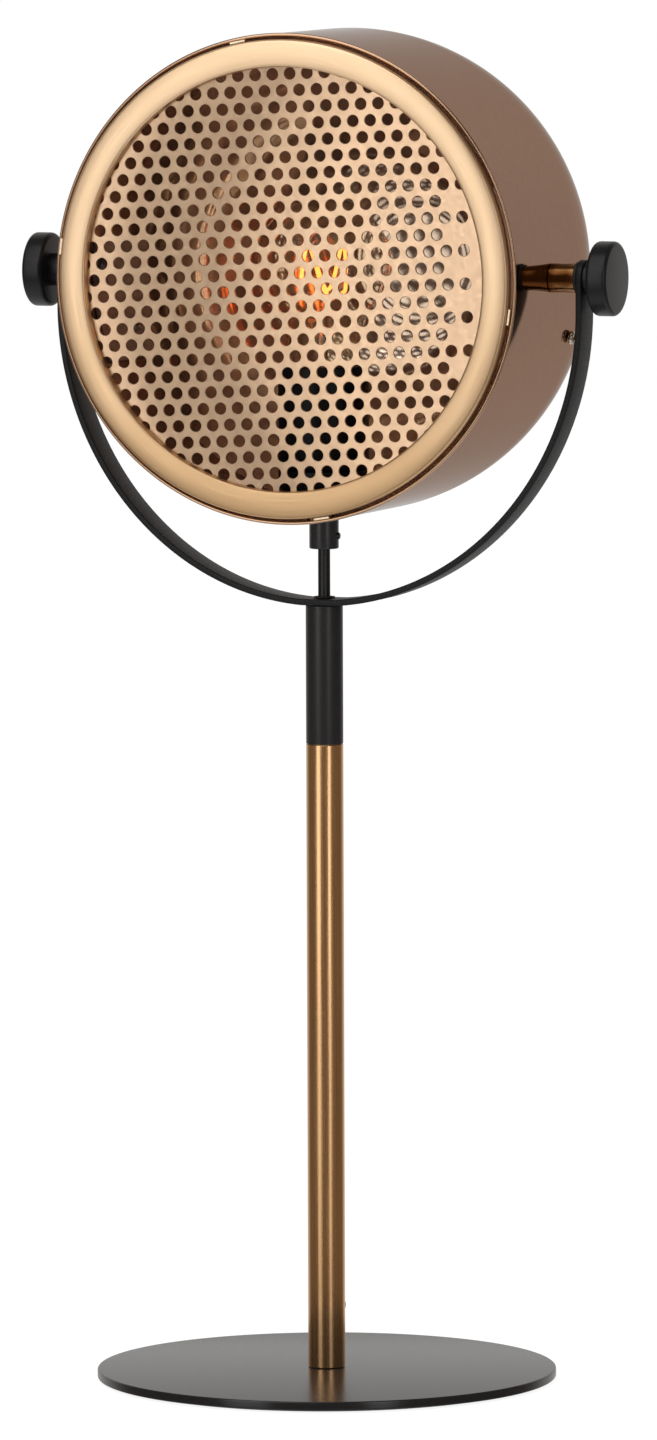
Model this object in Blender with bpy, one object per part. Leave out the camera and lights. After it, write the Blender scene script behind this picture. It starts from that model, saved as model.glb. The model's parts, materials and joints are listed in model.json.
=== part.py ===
"""Table lamp: a drum shade with a perforated front tilts in a yoke, on a pole and a round base.

Lengths are in metres and +Z is up. The origin is the centre of the base's underside. The lamp
faces -Y, and its shade tilts about an axis along X at pivot_height. The pieces of the shade are
placed from that axis, so their own coordinates start there.
"""

import math

import bmesh
import bpy
from mathutils import Matrix, Vector
from mathutils.geometry import delaunay_2d_cdt

# Clearances
SEAT_GAP = 0.0003  # between two faces that touch on the real lamp
RUNNING_GAP = 0.0003  # round a shaft, a plug or a cord in its hole
CUT_OVERRUN = 0.002  # how far a cutter runs past the wall that it cuts
WELD_DISTANCE = 0.000001

# Roundness of the turned pieces
WIDE_SIDES = 48
MIDDLE_SIDES = 20
SMALL_SIDES = 12
HEX_SIDES = 6
ROUND_STEPS = 2  # facets across a rounded edge that shows
SMOOTH_ANGLE = math.radians(40)

# Base: a felt pad, a steel plate and a countersunk screw up into the pole
PAD_THICKNESS = 0.0008
PAD_INSET = 0.006
BASE_RADIUS = 0.1015
BASE_THICKNESS = 0.0040
BASE_EDGE_ROUND = 0.0008
BASE_SCREW_RADIUS = 0.003
BASE_SCREW_HEAD_RADIUS = 0.006
BASE_SCREW_HEAD_HEIGHT = 0.003
BASE_SCREW_GRIP = 0.011  # length of the screw above the base plate

# Pole: a copper tube with a plug in its foot, and a black sleeve above it
POLE_RADIUS = 0.0082
POLE_WALL = 0.0008
POLE_LENGTH = 0.2766
POLE_FOOT_LENGTH = 0.014
SLEEVE_LENGTH = 0.0611
JOINER_LENGTH = 0.040
JOINER_WALL = 0.0015

# Flex from the lampholder down through the pole, and its outlet at the back of the pole
FLEX_RADIUS = 0.0027
FLEX_POINT_STEP = 0.0120
FLEX_LEAN_LENGTH = 0.040
FLEX_BEND_STEPS = 6
OUTLET_ABOVE_FOOT = 0.012
GROMMET_WALL = 0.0010
GROMMET_FLANGE = 0.0010
GROMMET_PROUD = 0.0030

# Yoke: a bent flat strip with round ends
YOKE_THICKNESS = 0.0028
YOKE_WIDTH = 0.0162
YOKE_STRAIGHT = 0.0144  # straight part of each arm, below the pivot axis
YOKE_ARC_STEPS = 14  # on each side
YOKE_END_STEPS = 4
GRIP_TO_YOKE = 0.0219  # free length of the flex
BUSH_WALL = 0.0012
BUSH_FLANGE = 0.0006
BUSH_FLANGE_HEIGHT = 0.0005
BUSH_TAIL = 0.003

# Shade drum: spun in one piece, with a domed back that is flat in the middle
DRUM_RADIUS = 0.1067
DRUM_WALL = 0.0008
DRUM_FRONT = 0.0472  # pivot axis to the front edge
DRUM_BACK = 0.1226  # pivot axis to the back of the dome
DOME_FLAT_RADIUS = 0.0187
DOME_STEPS = 10

# Pivot plates: sheet bent to the inside of the drum's wall, behind each pivot
PLATE_THICKNESS = 0.0015
PLATE_FRONT = 0.009  # pivot axis to the front edge
PLATE_SIDES_BELOW = 3  # facets of the drum that the plate covers, below the pivot axis
PLATE_SIDES_ABOVE = 1
PLATE_SCREW_BACK = 0.0315  # pivot axis to the screw's axis
PLATE_SCREW_RADIUS = 0.0015
PLATE_SCREW_HEAD_RADIUS = 0.0030
PLATE_SCREW_HEAD_HEIGHT = 0.0022
PLATE_SCREW_TAIL = 0.002
PLATE_SCREW_ANGLE = math.radians(-15)

# Bezel: a hollow-backed front ring, the perforated grille behind it and the clips
RING_GAP = 0.0015
RING_WIDTH = 0.0121
RING_SHEET = 0.0010
RING_FORWARD = 0.0009
RING_RISE = 0.0031
RING_LIP = 0.0009
RING_ARCH_STEPS = 4
RING_INSIDE_STEPS = 2
GRILLE_THICKNESS = 0.0010
GRILLE_TURN = math.radians(2.89)
HOLE_DIAMETER = 0.0052
HOLE_SIDES = 4
HOLE_PITCH = 0.00805
ROW_PITCH = 0.007225
ROW_SHIFT = 0.00254  # height of the first row above the centre
COLUMN_SHIFT = -0.00088  # sideways place of that row's middle hole
HOLE_FIELD_OVERLAP = 0.0026  # how far beyond the ring's inner edge holes are centred
LONG_ROW_LAST_HOLE = 10  # holes to the right of the centre, where the sheet's border starts
SHORT_ROW_LAST_HOLE = 9
CLIP_WIDTH = 0.007
CLIP_SHEET = 0.0008
CLIP_FOOT = 0.005
CLIP_PROUD = 0.0015
CLIP_ANGLES = [math.radians(angle) for angle in (-8, 101.5, 173, 279.5)]

# Pivots, from the drum outwards: bolt head, wall, spacer, washer, yoke arm, knob
PIVOT_BOLT_RADIUS = 0.003
PIVOT_BOLT_HEAD_RADIUS = 0.0055
PIVOT_BOLT_HEAD_HEIGHT = 0.003
SPACER_LENGTH = 0.0113
SPACER_RADIUS = 0.0064
SPACER_WAIST = 0.0005
PIVOT_WASHER_RADIUS = 0.00725
PIVOT_WASHER_THICKNESS = 0.0013
KNOB_RADIUS = 0.0163
KNOB_DEPTH = 0.0094
KNOB_EDGE_ROUND = 0.0018
KNOB_NECK_RADIUS = 0.00725
KNOB_NECK_LENGTH = 0.0041
KNOB_FACE_WALL = 0.0021
KNOB_INSERT_WALL = 0.0014

# Cord grip, nipple and lampholder, from the outside of the drum inwards
GRIP_LENGTH = 0.0138
GRIP_RADIUS = 0.0065
GRIP_SCREW_RADIUS = 0.0015
GRIP_SCREW_PROUD = 0.0009
GRIP_SCREW_FROM_END = 0.0057
NIPPLE_RADIUS = 0.005
NIPPLE_IN_GRIP = 0.005
NIPPLE_IN_CAP = 0.005
NUT_RADIUS = 0.008
NUT_HEIGHT = 0.003
HOLDER_RADIUS = 0.020
HOLDER_WALL = 0.003
HOLDER_CAP_HEIGHT = 0.016
HOLDER_CAP_FLOOR = 0.004
HOLDER_CAP_NECK_RADIUS = 0.012
HOLDER_BODY_LENGTH = 0.0455
HOLDER_SHOULDER = 0.0025
INSERT_HEIGHT = 0.012
SCREW_SHELL_WALL = 0.0005
SCREW_SHELL_HEIGHT = 0.024
CONTACT_RADIUS = 0.0035
CONTACT_HEIGHT = 0.002
FLEX_PAST_NIPPLE = 0.0025
CORE_RADIUS = 0.0010
CORE_SPREAD = 0.006

# Bulb, upwards from its centre contact
BULB_CAP_RADIUS = 0.0130
BULB_CAP_HEIGHT = 0.027
BULB_CAP_TIP_RADIUS = 0.0045
BULB_CAP_TIP_HEIGHT = 0.0050
BULB_CAP_SOCKET_DEPTH = 0.012
BULB_CAP_WALL = 0.0008
BULB_RADIUS = 0.030
BULB_LENGTH = 0.105
BULB_WALL = 0.0008
BULB_SPHERE_STEPS = 6
BULB_SHOULDER_ANGLE = math.radians(-50)
STEM_FLARE_RADIUS = 0.008
STEM_FLARE_HEIGHT = 0.016
STEM_RADIUS = 0.002
STEM_LENGTH = 0.046
FILAMENT_RADIUS = 0.00035
FILAMENT_CAGE_RADIUS = 0.010
FILAMENT_SWING = 0.010
FILAMENT_WAVES = 3
FILAMENT_POINTS = 30
FILAMENT_SWEEP = math.radians(300)
FILAMENT_HEIGHT_ABOVE_STEM = 0.012

# Heights of the stand, upwards from the floor
base_bottom = PAD_THICKNESS + SEAT_GAP
base_top = base_bottom + BASE_THICKNESS
pole_bottom = base_top + SEAT_GAP
pole_foot_top = pole_bottom + POLE_FOOT_LENGTH
pole_top = pole_bottom + POLE_LENGTH
sleeve_bottom = pole_top + SEAT_GAP
sleeve_top = sleeve_bottom + SLEEVE_LENGTH
yoke_bottom = sleeve_top + SEAT_GAP
yoke_inner_bottom = yoke_bottom + YOKE_THICKNESS
grip_drop = DRUM_RADIUS + SEAT_GAP + GRIP_LENGTH
pivot_height = yoke_inner_bottom + GRIP_TO_YOKE + grip_drop
yoke_drop = pivot_height - yoke_bottom

# Places along the pivot axis, outwards from the lamp's middle
drum_inner_radius = DRUM_RADIUS - DRUM_WALL
spacer_start = DRUM_RADIUS + SEAT_GAP
spacer_end = spacer_start + SPACER_LENGTH
washer_start = spacer_end + SEAT_GAP
washer_end = washer_start + PIVOT_WASHER_THICKNESS
yoke_inner = washer_end + SEAT_GAP
yoke_outer = yoke_inner + YOKE_THICKNESS
knob_start = yoke_outer + SEAT_GAP
knob_bore_depth = KNOB_NECK_LENGTH + KNOB_DEPTH - KNOB_FACE_WALL
insert_length = knob_bore_depth - 2 * SEAT_GAP

# Places along the lamp's facing axis, backwards from the pivot axis
drum_front = -DRUM_FRONT
dome_round = DRUM_RADIUS - DOME_FLAT_RADIUS
dome_start = DRUM_BACK - dome_round
dome_centre = (DOME_FLAT_RADIUS, dome_start)
arch_foot = drum_front - RING_FORWARD
lip_back = arch_foot + RING_LIP
grille_front = lip_back + SEAT_GAP
grille_back = grille_front + GRILLE_THICKNESS
clip_foot_front = grille_back + SEAT_GAP

# Radii of the bezel
ring_outer_radius = drum_inner_radius - RING_GAP
ring_inner_radius = ring_outer_radius - RING_WIDTH
grille_radius = ring_outer_radius - RING_SHEET - RUNNING_GAP


# Rounds of the pivot plates' two faces
plate_outer_round = dome_round - DRUM_WALL - SEAT_GAP
plate_inner_round = plate_outer_round - PLATE_THICKNESS
plate_inner_radius = DOME_FLAT_RADIUS + plate_inner_round


def seat_inside(wall_radius, half_width):
    """Distance from the drum's axis at which a flat face this wide meets the inside of a round wall."""
    flat_radius = wall_radius * math.cos(math.pi / WIDE_SIDES)
    return math.sqrt(flat_radius**2 - half_width**2) - SEAT_GAP


# Heights of the lampholder and the bulb, measured from the pivot axis
grip_top = -DRUM_RADIUS - SEAT_GAP
grip_bottom = grip_top - GRIP_LENGTH
nipple_bottom = grip_top - NIPPLE_IN_GRIP
nut_bottom = -seat_inside(drum_inner_radius, NUT_RADIUS)
nut_top = nut_bottom + NUT_HEIGHT
holder_cap_bottom = nut_top + SEAT_GAP
nipple_top = holder_cap_bottom + NIPPLE_IN_CAP
flex_top = nipple_top + FLEX_PAST_NIPPLE
holder_cap_top = holder_cap_bottom + HOLDER_CAP_HEIGHT
holder_body_bottom = holder_cap_top + SEAT_GAP
holder_inner_radius = HOLDER_RADIUS - HOLDER_WALL
insert_top = holder_body_bottom + INSERT_HEIGHT
contact_bottom = insert_top + SEAT_GAP
bulb_bottom = contact_bottom + CONTACT_HEIGHT + SEAT_GAP
socket_floor = BULB_CAP_HEIGHT - BULB_CAP_SOCKET_DEPTH

FINISHES = {
    "black_satin": ((0.022, 0.022, 0.024), 0.42, 0.0),
    "black_plastic": ((0.020, 0.020, 0.021), 0.50, 0.0),
    "satin_copper": ((0.72, 0.42, 0.22), 0.30, 1.0),
    "pale_gold": ((0.88, 0.62, 0.38), 0.28, 1.0),
    "copper_lacquer": ((0.42, 0.27, 0.20), 0.30, 0.9),
    "brass": ((0.78, 0.55, 0.28), 0.30, 1.0),
    "zinc_steel": ((0.60, 0.60, 0.62), 0.35, 1.0),
    "felt": ((0.06, 0.06, 0.065), 0.95, 0.0),
    "rubber": ((0.018, 0.018, 0.018), 0.70, 0.0),
    "ceramic": ((0.86, 0.85, 0.80), 0.30, 0.0),
    "clear_glass": ((0.95, 0.95, 0.92), 0.03, 0.0),
    "filament": ((1.0, 0.72, 0.30), 0.50, 0.0),
    "brown_core": ((0.22, 0.09, 0.04), 0.50, 0.0),
    "blue_core": ((0.04, 0.12, 0.40), 0.50, 0.0),
}


def clear_scene():
    """Removes every object that the scene starts with."""
    for old in list(bpy.data.objects):
        bpy.data.objects.remove(old, do_unlink=True)


def finish(name):
    """The material of this name, made when it is first asked for."""
    if name in bpy.data.materials:
        return bpy.data.materials[name]
    colour, roughness, metallic = FINISHES[name]
    made = bpy.data.materials.new(name)
    made.use_nodes = True
    shader = made.node_tree.nodes["Principled BSDF"]
    shader.inputs["Base Color"].default_value = (*colour, 1.0)
    shader.inputs["Roughness"].default_value = roughness
    shader.inputs["Metallic"].default_value = metallic
    made.diffuse_color = (*colour, 1.0)
    return made


def joint_frame(name, location, parent=None):
    """An empty on a joint's axis, which carries the pieces that move there."""
    empty = bpy.data.objects.new(name, None)
    bpy.context.scene.collection.objects.link(empty)
    empty.location = location
    empty.parent = parent
    return empty


def placed(name, mesh, look, location=(0, 0, 0), turn=(0, 0, 0), parent=None):
    """The object that shows this mesh, with its finish and its place."""
    piece = bpy.data.objects.new(name, mesh)
    bpy.context.scene.collection.objects.link(piece)
    piece.location = location
    piece.rotation_euler = turn
    piece.parent = parent
    piece.data.materials.append(finish(look))
    return piece


def mesh_from(name, shape):
    """A smooth-shaded mesh from a bmesh, with its faces pointing out."""
    bmesh.ops.recalc_face_normals(shape, faces=shape.faces)
    mesh = bpy.data.meshes.new(name)
    shape.to_mesh(mesh)
    shape.free()
    mesh.shade_smooth()
    mesh.set_sharp_from_angle(angle=SMOOTH_ANGLE)
    return mesh


AXIS_TURNS = {
    "x": Matrix.Rotation(math.pi / 2, 4, "Y"),
    "y": Matrix.Rotation(-math.pi / 2, 4, "X"),
    "z": Matrix.Identity(4),
}


def turned_mesh(name, profile, sides, axis="z"):
    """A profile of (radius, distance along the axis) spun round that axis.

    A profile that starts and ends on the axis is a chain; any other is a closed outline.
    """
    shape = bmesh.new()
    corners = [shape.verts.new((radius, 0, along)) for radius, along in profile]
    pairs = list(zip(corners, corners[1:]))
    if profile[0][0] > 0:
        pairs.append((corners[-1], corners[0]))
    edges = [shape.edges.new(pair) for pair in pairs]
    bmesh.ops.spin(
        shape,
        geom=corners + edges,
        axis=(0, 0, 1),
        cent=(0, 0, 0),
        steps=sides,
        angle=2 * math.pi,
    )
    bmesh.ops.remove_doubles(shape, verts=shape.verts, dist=WELD_DISTANCE)
    bmesh.ops.transform(shape, matrix=AXIS_TURNS[axis], verts=shape.verts)
    return mesh_from(name, shape)


def turned(name, profile, look, sides=MIDDLE_SIDES, axis="z", **place):
    """A turned piece, placed."""
    return placed(name, turned_mesh(name, profile, sides, axis), look, **place)


def tube_profile(outer, inner, start, end):
    """The closed outline of a plain tube's wall."""
    return [(inner, start), (outer, start), (outer, end), (inner, end)]


def rod_profile(radius, start, end):
    """The chain of a plain solid rod."""
    return [(0, start), (radius, start), (radius, end), (0, end)]


def screw_profile(shank, head, head_height, start, end):
    """A pan head that ends at start and a shank from there to end, on the far side."""
    away = math.copysign(head_height, start - end)
    return [(0, end), (shank, end), (shank, start), (head, start), (head, start + away), (0, start + away)]


def arc(centre, radius, first, last, steps):
    """Points on an arc in the (radius, along) plane, from angle first to angle last."""
    angles = [first + (last - first) * step / steps for step in range(steps + 1)]
    return [
        (centre[0] + radius * math.cos(angle), centre[1] + radius * math.sin(angle))
        for angle in angles
    ]


def radial_turn(angle):
    """The turn that points a piece's own +Z away from the drum's axis at this angle."""
    return (0, math.pi / 2 - angle, 0)


def drilled(piece, name, radius, start, end, axis="z", sides=SMALL_SIDES, **place):
    """A round hole through the piece, along one axis of the place given."""
    cutter = turned(name, rod_profile(radius, start, end), "black_plastic", sides, axis, **place)
    combined(piece, cutter, "DIFFERENCE")
    return cutter


def combined(piece, tool, operation):
    """A Boolean of the piece with a hidden tool."""
    tool.hide_render = True
    tool.display_type = "WIRE"
    step = piece.modifiers.new(tool.name, "BOOLEAN")
    step.operation = operation
    step.solver = "EXACT"
    step.object = tool


def tube_along(name, points, radius, look, parent=None):
    """A round cord through these points, with closed ends."""
    curve = bpy.data.curves.new(name, "CURVE")
    curve.dimensions = "3D"
    curve.bevel_depth = radius
    curve.bevel_resolution = 1 if radius < FLEX_RADIUS else 2
    curve.use_fill_caps = True
    line = curve.splines.new("POLY")
    line.points.add(len(points) - 1)
    for knot, point in zip(line.points, points):
        knot.co = (*point, 1)
    piece = bpy.data.objects.new(name, curve)
    bpy.context.scene.collection.objects.link(piece)
    piece.parent = parent
    curve.materials.append(finish(look))
    return piece


def build_base():
    """The pad, the plate and the screw that holds the pole."""
    pad = rod_profile(BASE_RADIUS - PAD_INSET, 0, PAD_THICKNESS)
    turned("base_pad", pad, "felt", WIDE_SIDES)
    sink_radius = BASE_SCREW_HEAD_RADIUS + RUNNING_GAP
    shank_hole = BASE_SCREW_RADIUS + RUNNING_GAP
    sink_top = base_bottom + BASE_SCREW_HEAD_HEIGHT + SEAT_GAP
    rim = BASE_RADIUS - BASE_EDGE_ROUND
    plate = [
        (sink_radius, base_bottom),
        (rim, base_bottom),
        (BASE_RADIUS, base_bottom + BASE_EDGE_ROUND),
        (BASE_RADIUS, base_top - BASE_EDGE_ROUND),
        (rim, base_top),
        (shank_hole, base_top),
        (shank_hole, sink_top),
    ]
    turned("base_plate", plate, "black_satin", WIDE_SIDES)
    head_top = base_bottom + BASE_SCREW_HEAD_HEIGHT
    tip = base_top + BASE_SCREW_GRIP
    screw = [
        (0, base_bottom),
        (BASE_SCREW_HEAD_RADIUS, base_bottom),
        (BASE_SCREW_RADIUS, head_top),
        (BASE_SCREW_RADIUS, tip),
        (0, tip),
    ]
    turned("base_screw", screw, "zinc_steel", SMALL_SIDES)


def build_pole():
    """The pole's tube, its foot plug, the joiner and the sleeve."""
    inner = POLE_RADIUS - POLE_WALL
    plug = tube_profile(inner - RUNNING_GAP, BASE_SCREW_RADIUS + RUNNING_GAP, pole_bottom, pole_foot_top)
    turned("pole_foot", plug, "zinc_steel")
    tube = turned("pole_tube", tube_profile(POLE_RADIUS, inner, pole_bottom, pole_top), "satin_copper")
    outlet = joint_frame("outlet_place", (0, 0, pole_foot_top + OUTLET_ABOVE_FOOT))
    grommet_bore = FLEX_RADIUS + RUNNING_GAP
    grommet_body = grommet_bore + GROMMET_WALL
    outlet_end = POLE_RADIUS + GROMMET_PROUD
    drilled(
        tube, "outlet_hole", grommet_body + RUNNING_GAP, 0, POLE_RADIUS + CUT_OVERRUN, "y", parent=outlet
    )
    grommet = turned(
        "outlet_grommet",
        rod_profile(grommet_body + GROMMET_FLANGE, 0, outlet_end),
        "rubber",
        SMALL_SIDES,
        "y",
        parent=outlet,
    )
    saddle = turned(
        "outlet_saddle",
        rod_profile(POLE_RADIUS + SEAT_GAP, -POLE_RADIUS, POLE_RADIUS),
        "rubber",
        MIDDLE_SIDES,
        parent=outlet,
    )
    combined(grommet, saddle, "DIFFERENCE")
    neck_start = math.sqrt(inner**2 - grommet_body**2)
    neck = turned(
        "outlet_neck",
        rod_profile(grommet_body, neck_start, outlet_end - GROMMET_FLANGE),
        "rubber",
        SMALL_SIDES,
        "y",
        parent=outlet,
    )
    combined(grommet, neck, "UNION")
    drilled(grommet, "outlet_bore", grommet_bore, 0, outlet_end + CUT_OVERRUN, "y", parent=outlet)

    joiner_radius = inner - RUNNING_GAP
    joiner = tube_profile(
        joiner_radius, joiner_radius - JOINER_WALL, pole_top - JOINER_LENGTH / 2, pole_top + JOINER_LENGTH / 2
    )
    turned("pole_joiner", joiner, "brass")
    turned("pole_sleeve", tube_profile(POLE_RADIUS, inner, sleeve_bottom, sleeve_top), "black_satin")


def yoke_section(x, z, inner_x, inner_z, half_width):
    """The four corners of the strip where its outer face is at (x, z)."""
    return [
        (x, -half_width, z),
        (x, half_width, z),
        (inner_x, half_width, inner_z),
        (inner_x, -half_width, inner_z),
    ]


def yoke_sections():
    """Sections along the strip from the left arm's end, round the bottom, to the right arm's end.

    The bend is half an ellipse with a short flat on the pole, and each arm's end is half a disc.
    """
    half_width = YOKE_WIDTH / 2
    flat_angle = math.asin(POLE_RADIUS / yoke_outer)
    depth = (yoke_drop - YOKE_STRAIGHT) / math.cos(flat_angle)
    inner_depth = (yoke_drop - YOKE_THICKNESS - YOKE_STRAIGHT) / math.cos(flat_angle)
    centre = pivot_height - YOKE_STRAIGHT
    right = []
    for step in range(YOKE_ARC_STEPS + 1):
        angle = flat_angle + (math.pi / 2 - flat_angle) * step / YOKE_ARC_STEPS
        across = math.sin(angle)
        down = math.cos(angle)
        outer = (yoke_outer * across, centre - depth * down)
        inner = (yoke_inner * across, centre - inner_depth * down)
        right.append((*outer, *inner, half_width))
    for step in range(YOKE_END_STEPS + 1):
        angle = math.pi / 2 * step / (YOKE_END_STEPS + 1)
        height = pivot_height + half_width * math.sin(angle)
        right.append((yoke_outer, height, yoke_inner, height, half_width * math.cos(angle)))
    left = [(-x, z, -inner_x, inner_z, width) for x, z, inner_x, inner_z, width in reversed(right)]
    return [yoke_section(*section) for section in left + right]


def swept_mesh(name, sections):
    """A bar through these sections, which all have as many corners, with closed ends."""
    shape = bmesh.new()
    rings = [[shape.verts.new(corner) for corner in section] for section in sections]
    for ring, following in zip(rings, rings[1:]):
        for side in range(len(ring)):
            after = (side + 1) % len(ring)
            shape.faces.new((ring[side], ring[after], following[after], following[side]))
    shape.faces.new(rings[0])
    shape.faces.new(rings[-1])
    return mesh_from(name, shape)


def build_yoke():
    """The yoke with its three holes, and the bush that the flex runs through."""
    yoke = placed("yoke", swept_mesh("yoke", yoke_sections()), "black_satin")
    bolt_hole = PIVOT_BOLT_RADIUS + RUNNING_GAP
    for side, sign in (("right", 1), ("left", -1)):
        ends = sorted((sign * (yoke_inner - CUT_OVERRUN), sign * (yoke_outer + CUT_OVERRUN)))
        drilled(yoke, f"yoke_{side}_hole", bolt_hole, *ends, "x", location=(0, 0, pivot_height))
    bore = FLEX_RADIUS + RUNNING_GAP
    body = bore + BUSH_WALL
    drilled(
        yoke,
        "yoke_bottom_hole",
        body + RUNNING_GAP,
        yoke_bottom - CUT_OVERRUN,
        yoke_inner_bottom + CUT_OVERRUN,
    )
    seat = yoke_inner_bottom + SEAT_GAP
    bush = [
        (bore, yoke_bottom - BUSH_TAIL),
        (body, yoke_bottom - BUSH_TAIL),
        (body, seat),
        (body + BUSH_FLANGE, seat),
        (body + BUSH_FLANGE, seat + BUSH_FLANGE_HEIGHT),
        (bore, seat + BUSH_FLANGE_HEIGHT),
    ]
    turned("yoke_bush", bush, "rubber", SMALL_SIDES)


def build_drum(head):
    """The drum: a straight wall that runs on into the dome."""
    quarter = math.pi / 2
    profile = [
        (0, DRUM_BACK),
        *arc(dome_centre, dome_round, quarter, 0, DOME_STEPS),
        (DRUM_RADIUS, drum_front),
        (drum_inner_radius, drum_front),
        *arc(dome_centre, dome_round - DRUM_WALL, 0, quarter, DOME_STEPS),
        (0, DRUM_BACK - DRUM_WALL),
    ]
    return turned("shade_drum", profile, "copper_lacquer", WIDE_SIDES, "y", parent=head)


def plate_sections(sign):
    """Sections of the pivot plate on this side, which bends round the drum's axis and into the dome."""
    back_angle = math.pi / 2 / DOME_STEPS
    profile = [
        (DOME_FLAT_RADIUS + plate_outer_round, -PLATE_FRONT),
        *arc(dome_centre, plate_outer_round, 0, back_angle, 1),
        *arc(dome_centre, plate_inner_round, back_angle, 0, 1),
        (plate_inner_radius, -PLATE_FRONT),
    ]
    sections = []
    for side in range(-PLATE_SIDES_BELOW, PLATE_SIDES_ABOVE + 1):
        angle = 2 * math.pi * side / WIDE_SIDES
        sections.append(
            [(sign * radius * math.cos(angle), along, radius * math.sin(angle)) for radius, along in profile]
        )
    return sections


def build_plate(side, sign, head, drum):
    """One pivot plate and the screw that holds it and the drum's wall together."""
    plate = placed(
        f"pivot_plate_{side}", swept_mesh("pivot_plate", plate_sections(sign)), "zinc_steel", parent=head
    )
    angle = PLATE_SCREW_ANGLE if sign > 0 else math.pi - PLATE_SCREW_ANGLE
    place = {"location": (0, PLATE_SCREW_BACK, 0), "turn": radial_turn(angle), "parent": head}
    hole = PLATE_SCREW_RADIUS + RUNNING_GAP
    hole_start = plate_inner_radius - CUT_OVERRUN
    cutter = drilled(
        drum, f"plate_screw_hole_{side}", hole, hole_start, DRUM_RADIUS + CUT_OVERRUN, **place
    )
    combined(plate, cutter, "DIFFERENCE")
    screw = screw_profile(
        PLATE_SCREW_RADIUS,
        PLATE_SCREW_HEAD_RADIUS,
        PLATE_SCREW_HEAD_HEIGHT,
        DRUM_RADIUS + SEAT_GAP,
        plate_inner_radius - PLATE_SCREW_TAIL,
    )
    turned(f"plate_screw_{side}", screw, "black_plastic", SMALL_SIDES, **place)
    return plate


def arch(middle, half_width, rise, steps):
    """Half an ellipse that rises forwards from the arch's foot, from its outer to its inner end."""
    angles = [math.pi * step / steps for step in range(steps + 1)]
    return [(middle + half_width * math.cos(angle), arch_foot - rise * math.sin(angle)) for angle in angles]


def ring_profile():
    """The bezel ring's sheet: half an elliptic arch, with a skirt outside and a short lip inside."""
    middle = (ring_outer_radius + ring_inner_radius) / 2
    half_width = RING_WIDTH / 2
    outside = arch(middle, half_width, RING_RISE, RING_ARCH_STEPS)
    inside = arch(middle, half_width - RING_SHEET, RING_RISE - RING_SHEET, RING_INSIDE_STEPS)
    return [
        (ring_outer_radius, grille_back),
        *outside,
        (ring_inner_radius, lip_back),
        (ring_inner_radius + RING_SHEET, lip_back),
        *reversed(inside),
        (ring_outer_radius - RING_SHEET, grille_back),
    ]


def hole_centres():
    """Centres of the grille's holes, in rows that are staggered by half a pitch.

    The rows run out under the ring, except at the right, where the sheet's border is left plain
    and every other row stops short.
    """
    field_radius = ring_inner_radius + HOLE_FIELD_OVERLAP
    rows = math.ceil(field_radius / ROW_PITCH)
    columns = math.ceil(field_radius / HOLE_PITCH)
    centres = []
    for row in range(-rows, rows + 1):
        is_long = row % 2 == 1
        last = LONG_ROW_LAST_HOLE if is_long else SHORT_ROW_LAST_HOLE
        shift = COLUMN_SHIFT + (HOLE_PITCH / 2 if is_long else 0)
        for column in range(-columns, last + 1):
            centre = Vector((column * HOLE_PITCH + shift, ROW_SHIFT + row * ROW_PITCH))
            if centre.length < field_radius:
                centres.append(Matrix.Rotation(GRILLE_TURN, 2) @ centre)
    return centres


def grille_mesh():
    """A thin disc with its holes: the sheet is filled round them and then given its thickness."""
    loops = [[
        Vector((grille_radius, 0)).to_3d()
        @ Matrix.Rotation(2 * math.pi * side / WIDE_SIDES, 3, "Z")
        for side in range(WIDE_SIDES)
    ]]
    spoke = Vector((HOLE_DIAMETER / 2, 0))
    for centre in hole_centres():
        turns = [Matrix.Rotation(2 * math.pi * side / HOLE_SIDES, 2) for side in range(HOLE_SIDES)]
        loops.append([centre + turn @ spoke for turn in turns])
    points = []
    edges = []
    loop_of_point = []
    for number, loop in enumerate(loops):
        first = len(points)
        points.extend(point.to_2d() for point in loop)
        loop_of_point.extend([number] * len(loop))
        edges.extend((first + side, first + (side + 1) % len(loop)) for side in range(len(loop)))
    filled_points, _, triangles, sources, _, _ = delaunay_2d_cdt(points, edges, [], 0, 0)
    shape = bmesh.new()
    corners = [shape.verts.new((point.x, grille_front, point.y)) for point in filled_points]
    for triangle in triangles:
        touched = {loop_of_point[sources[corner][0]] for corner in triangle}
        inside_a_hole = len(touched) == 1 and touched != {0}
        if not inside_a_hole:
            shape.faces.new([corners[corner] for corner in triangle])
    thickened = bmesh.ops.extrude_face_region(shape, geom=shape.faces[:])
    moved = [item for item in thickened["geom"] if isinstance(item, bmesh.types.BMVert)]
    bmesh.ops.translate(shape, vec=(0, GRILLE_THICKNESS, 0), verts=moved)
    return mesh_from("grille", shape)


def clip_mesh():
    """A clip bent from sheet: a leaf in the gap round the ring and a foot behind the grille.

    Its own +Z points away from the drum's axis.
    """
    half_width = CLIP_WIDTH / 2
    leaf_inside = ring_outer_radius + SEAT_GAP
    leaf_outside = seat_inside(drum_inner_radius, half_width)
    foot_inside = grille_radius - CLIP_FOOT
    foot_back = clip_foot_front + CLIP_SHEET
    outline = [
        (leaf_outside, drum_front - CLIP_PROUD),
        (leaf_outside, foot_back),
        (foot_inside, foot_back),
        (foot_inside, clip_foot_front),
        (leaf_inside, clip_foot_front),
        (leaf_inside, drum_front - CLIP_PROUD),
    ]
    shape = bmesh.new()
    corners = [shape.verts.new((-half_width, along, radius)) for radius, along in outline]
    shape.faces.new(corners)
    widened = bmesh.ops.extrude_face_region(shape, geom=shape.faces[:])
    moved = [item for item in widened["geom"] if isinstance(item, bmesh.types.BMVert)]
    bmesh.ops.translate(shape, vec=(CLIP_WIDTH, 0, 0), verts=moved)
    return mesh_from("bezel_clip", shape)


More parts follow.
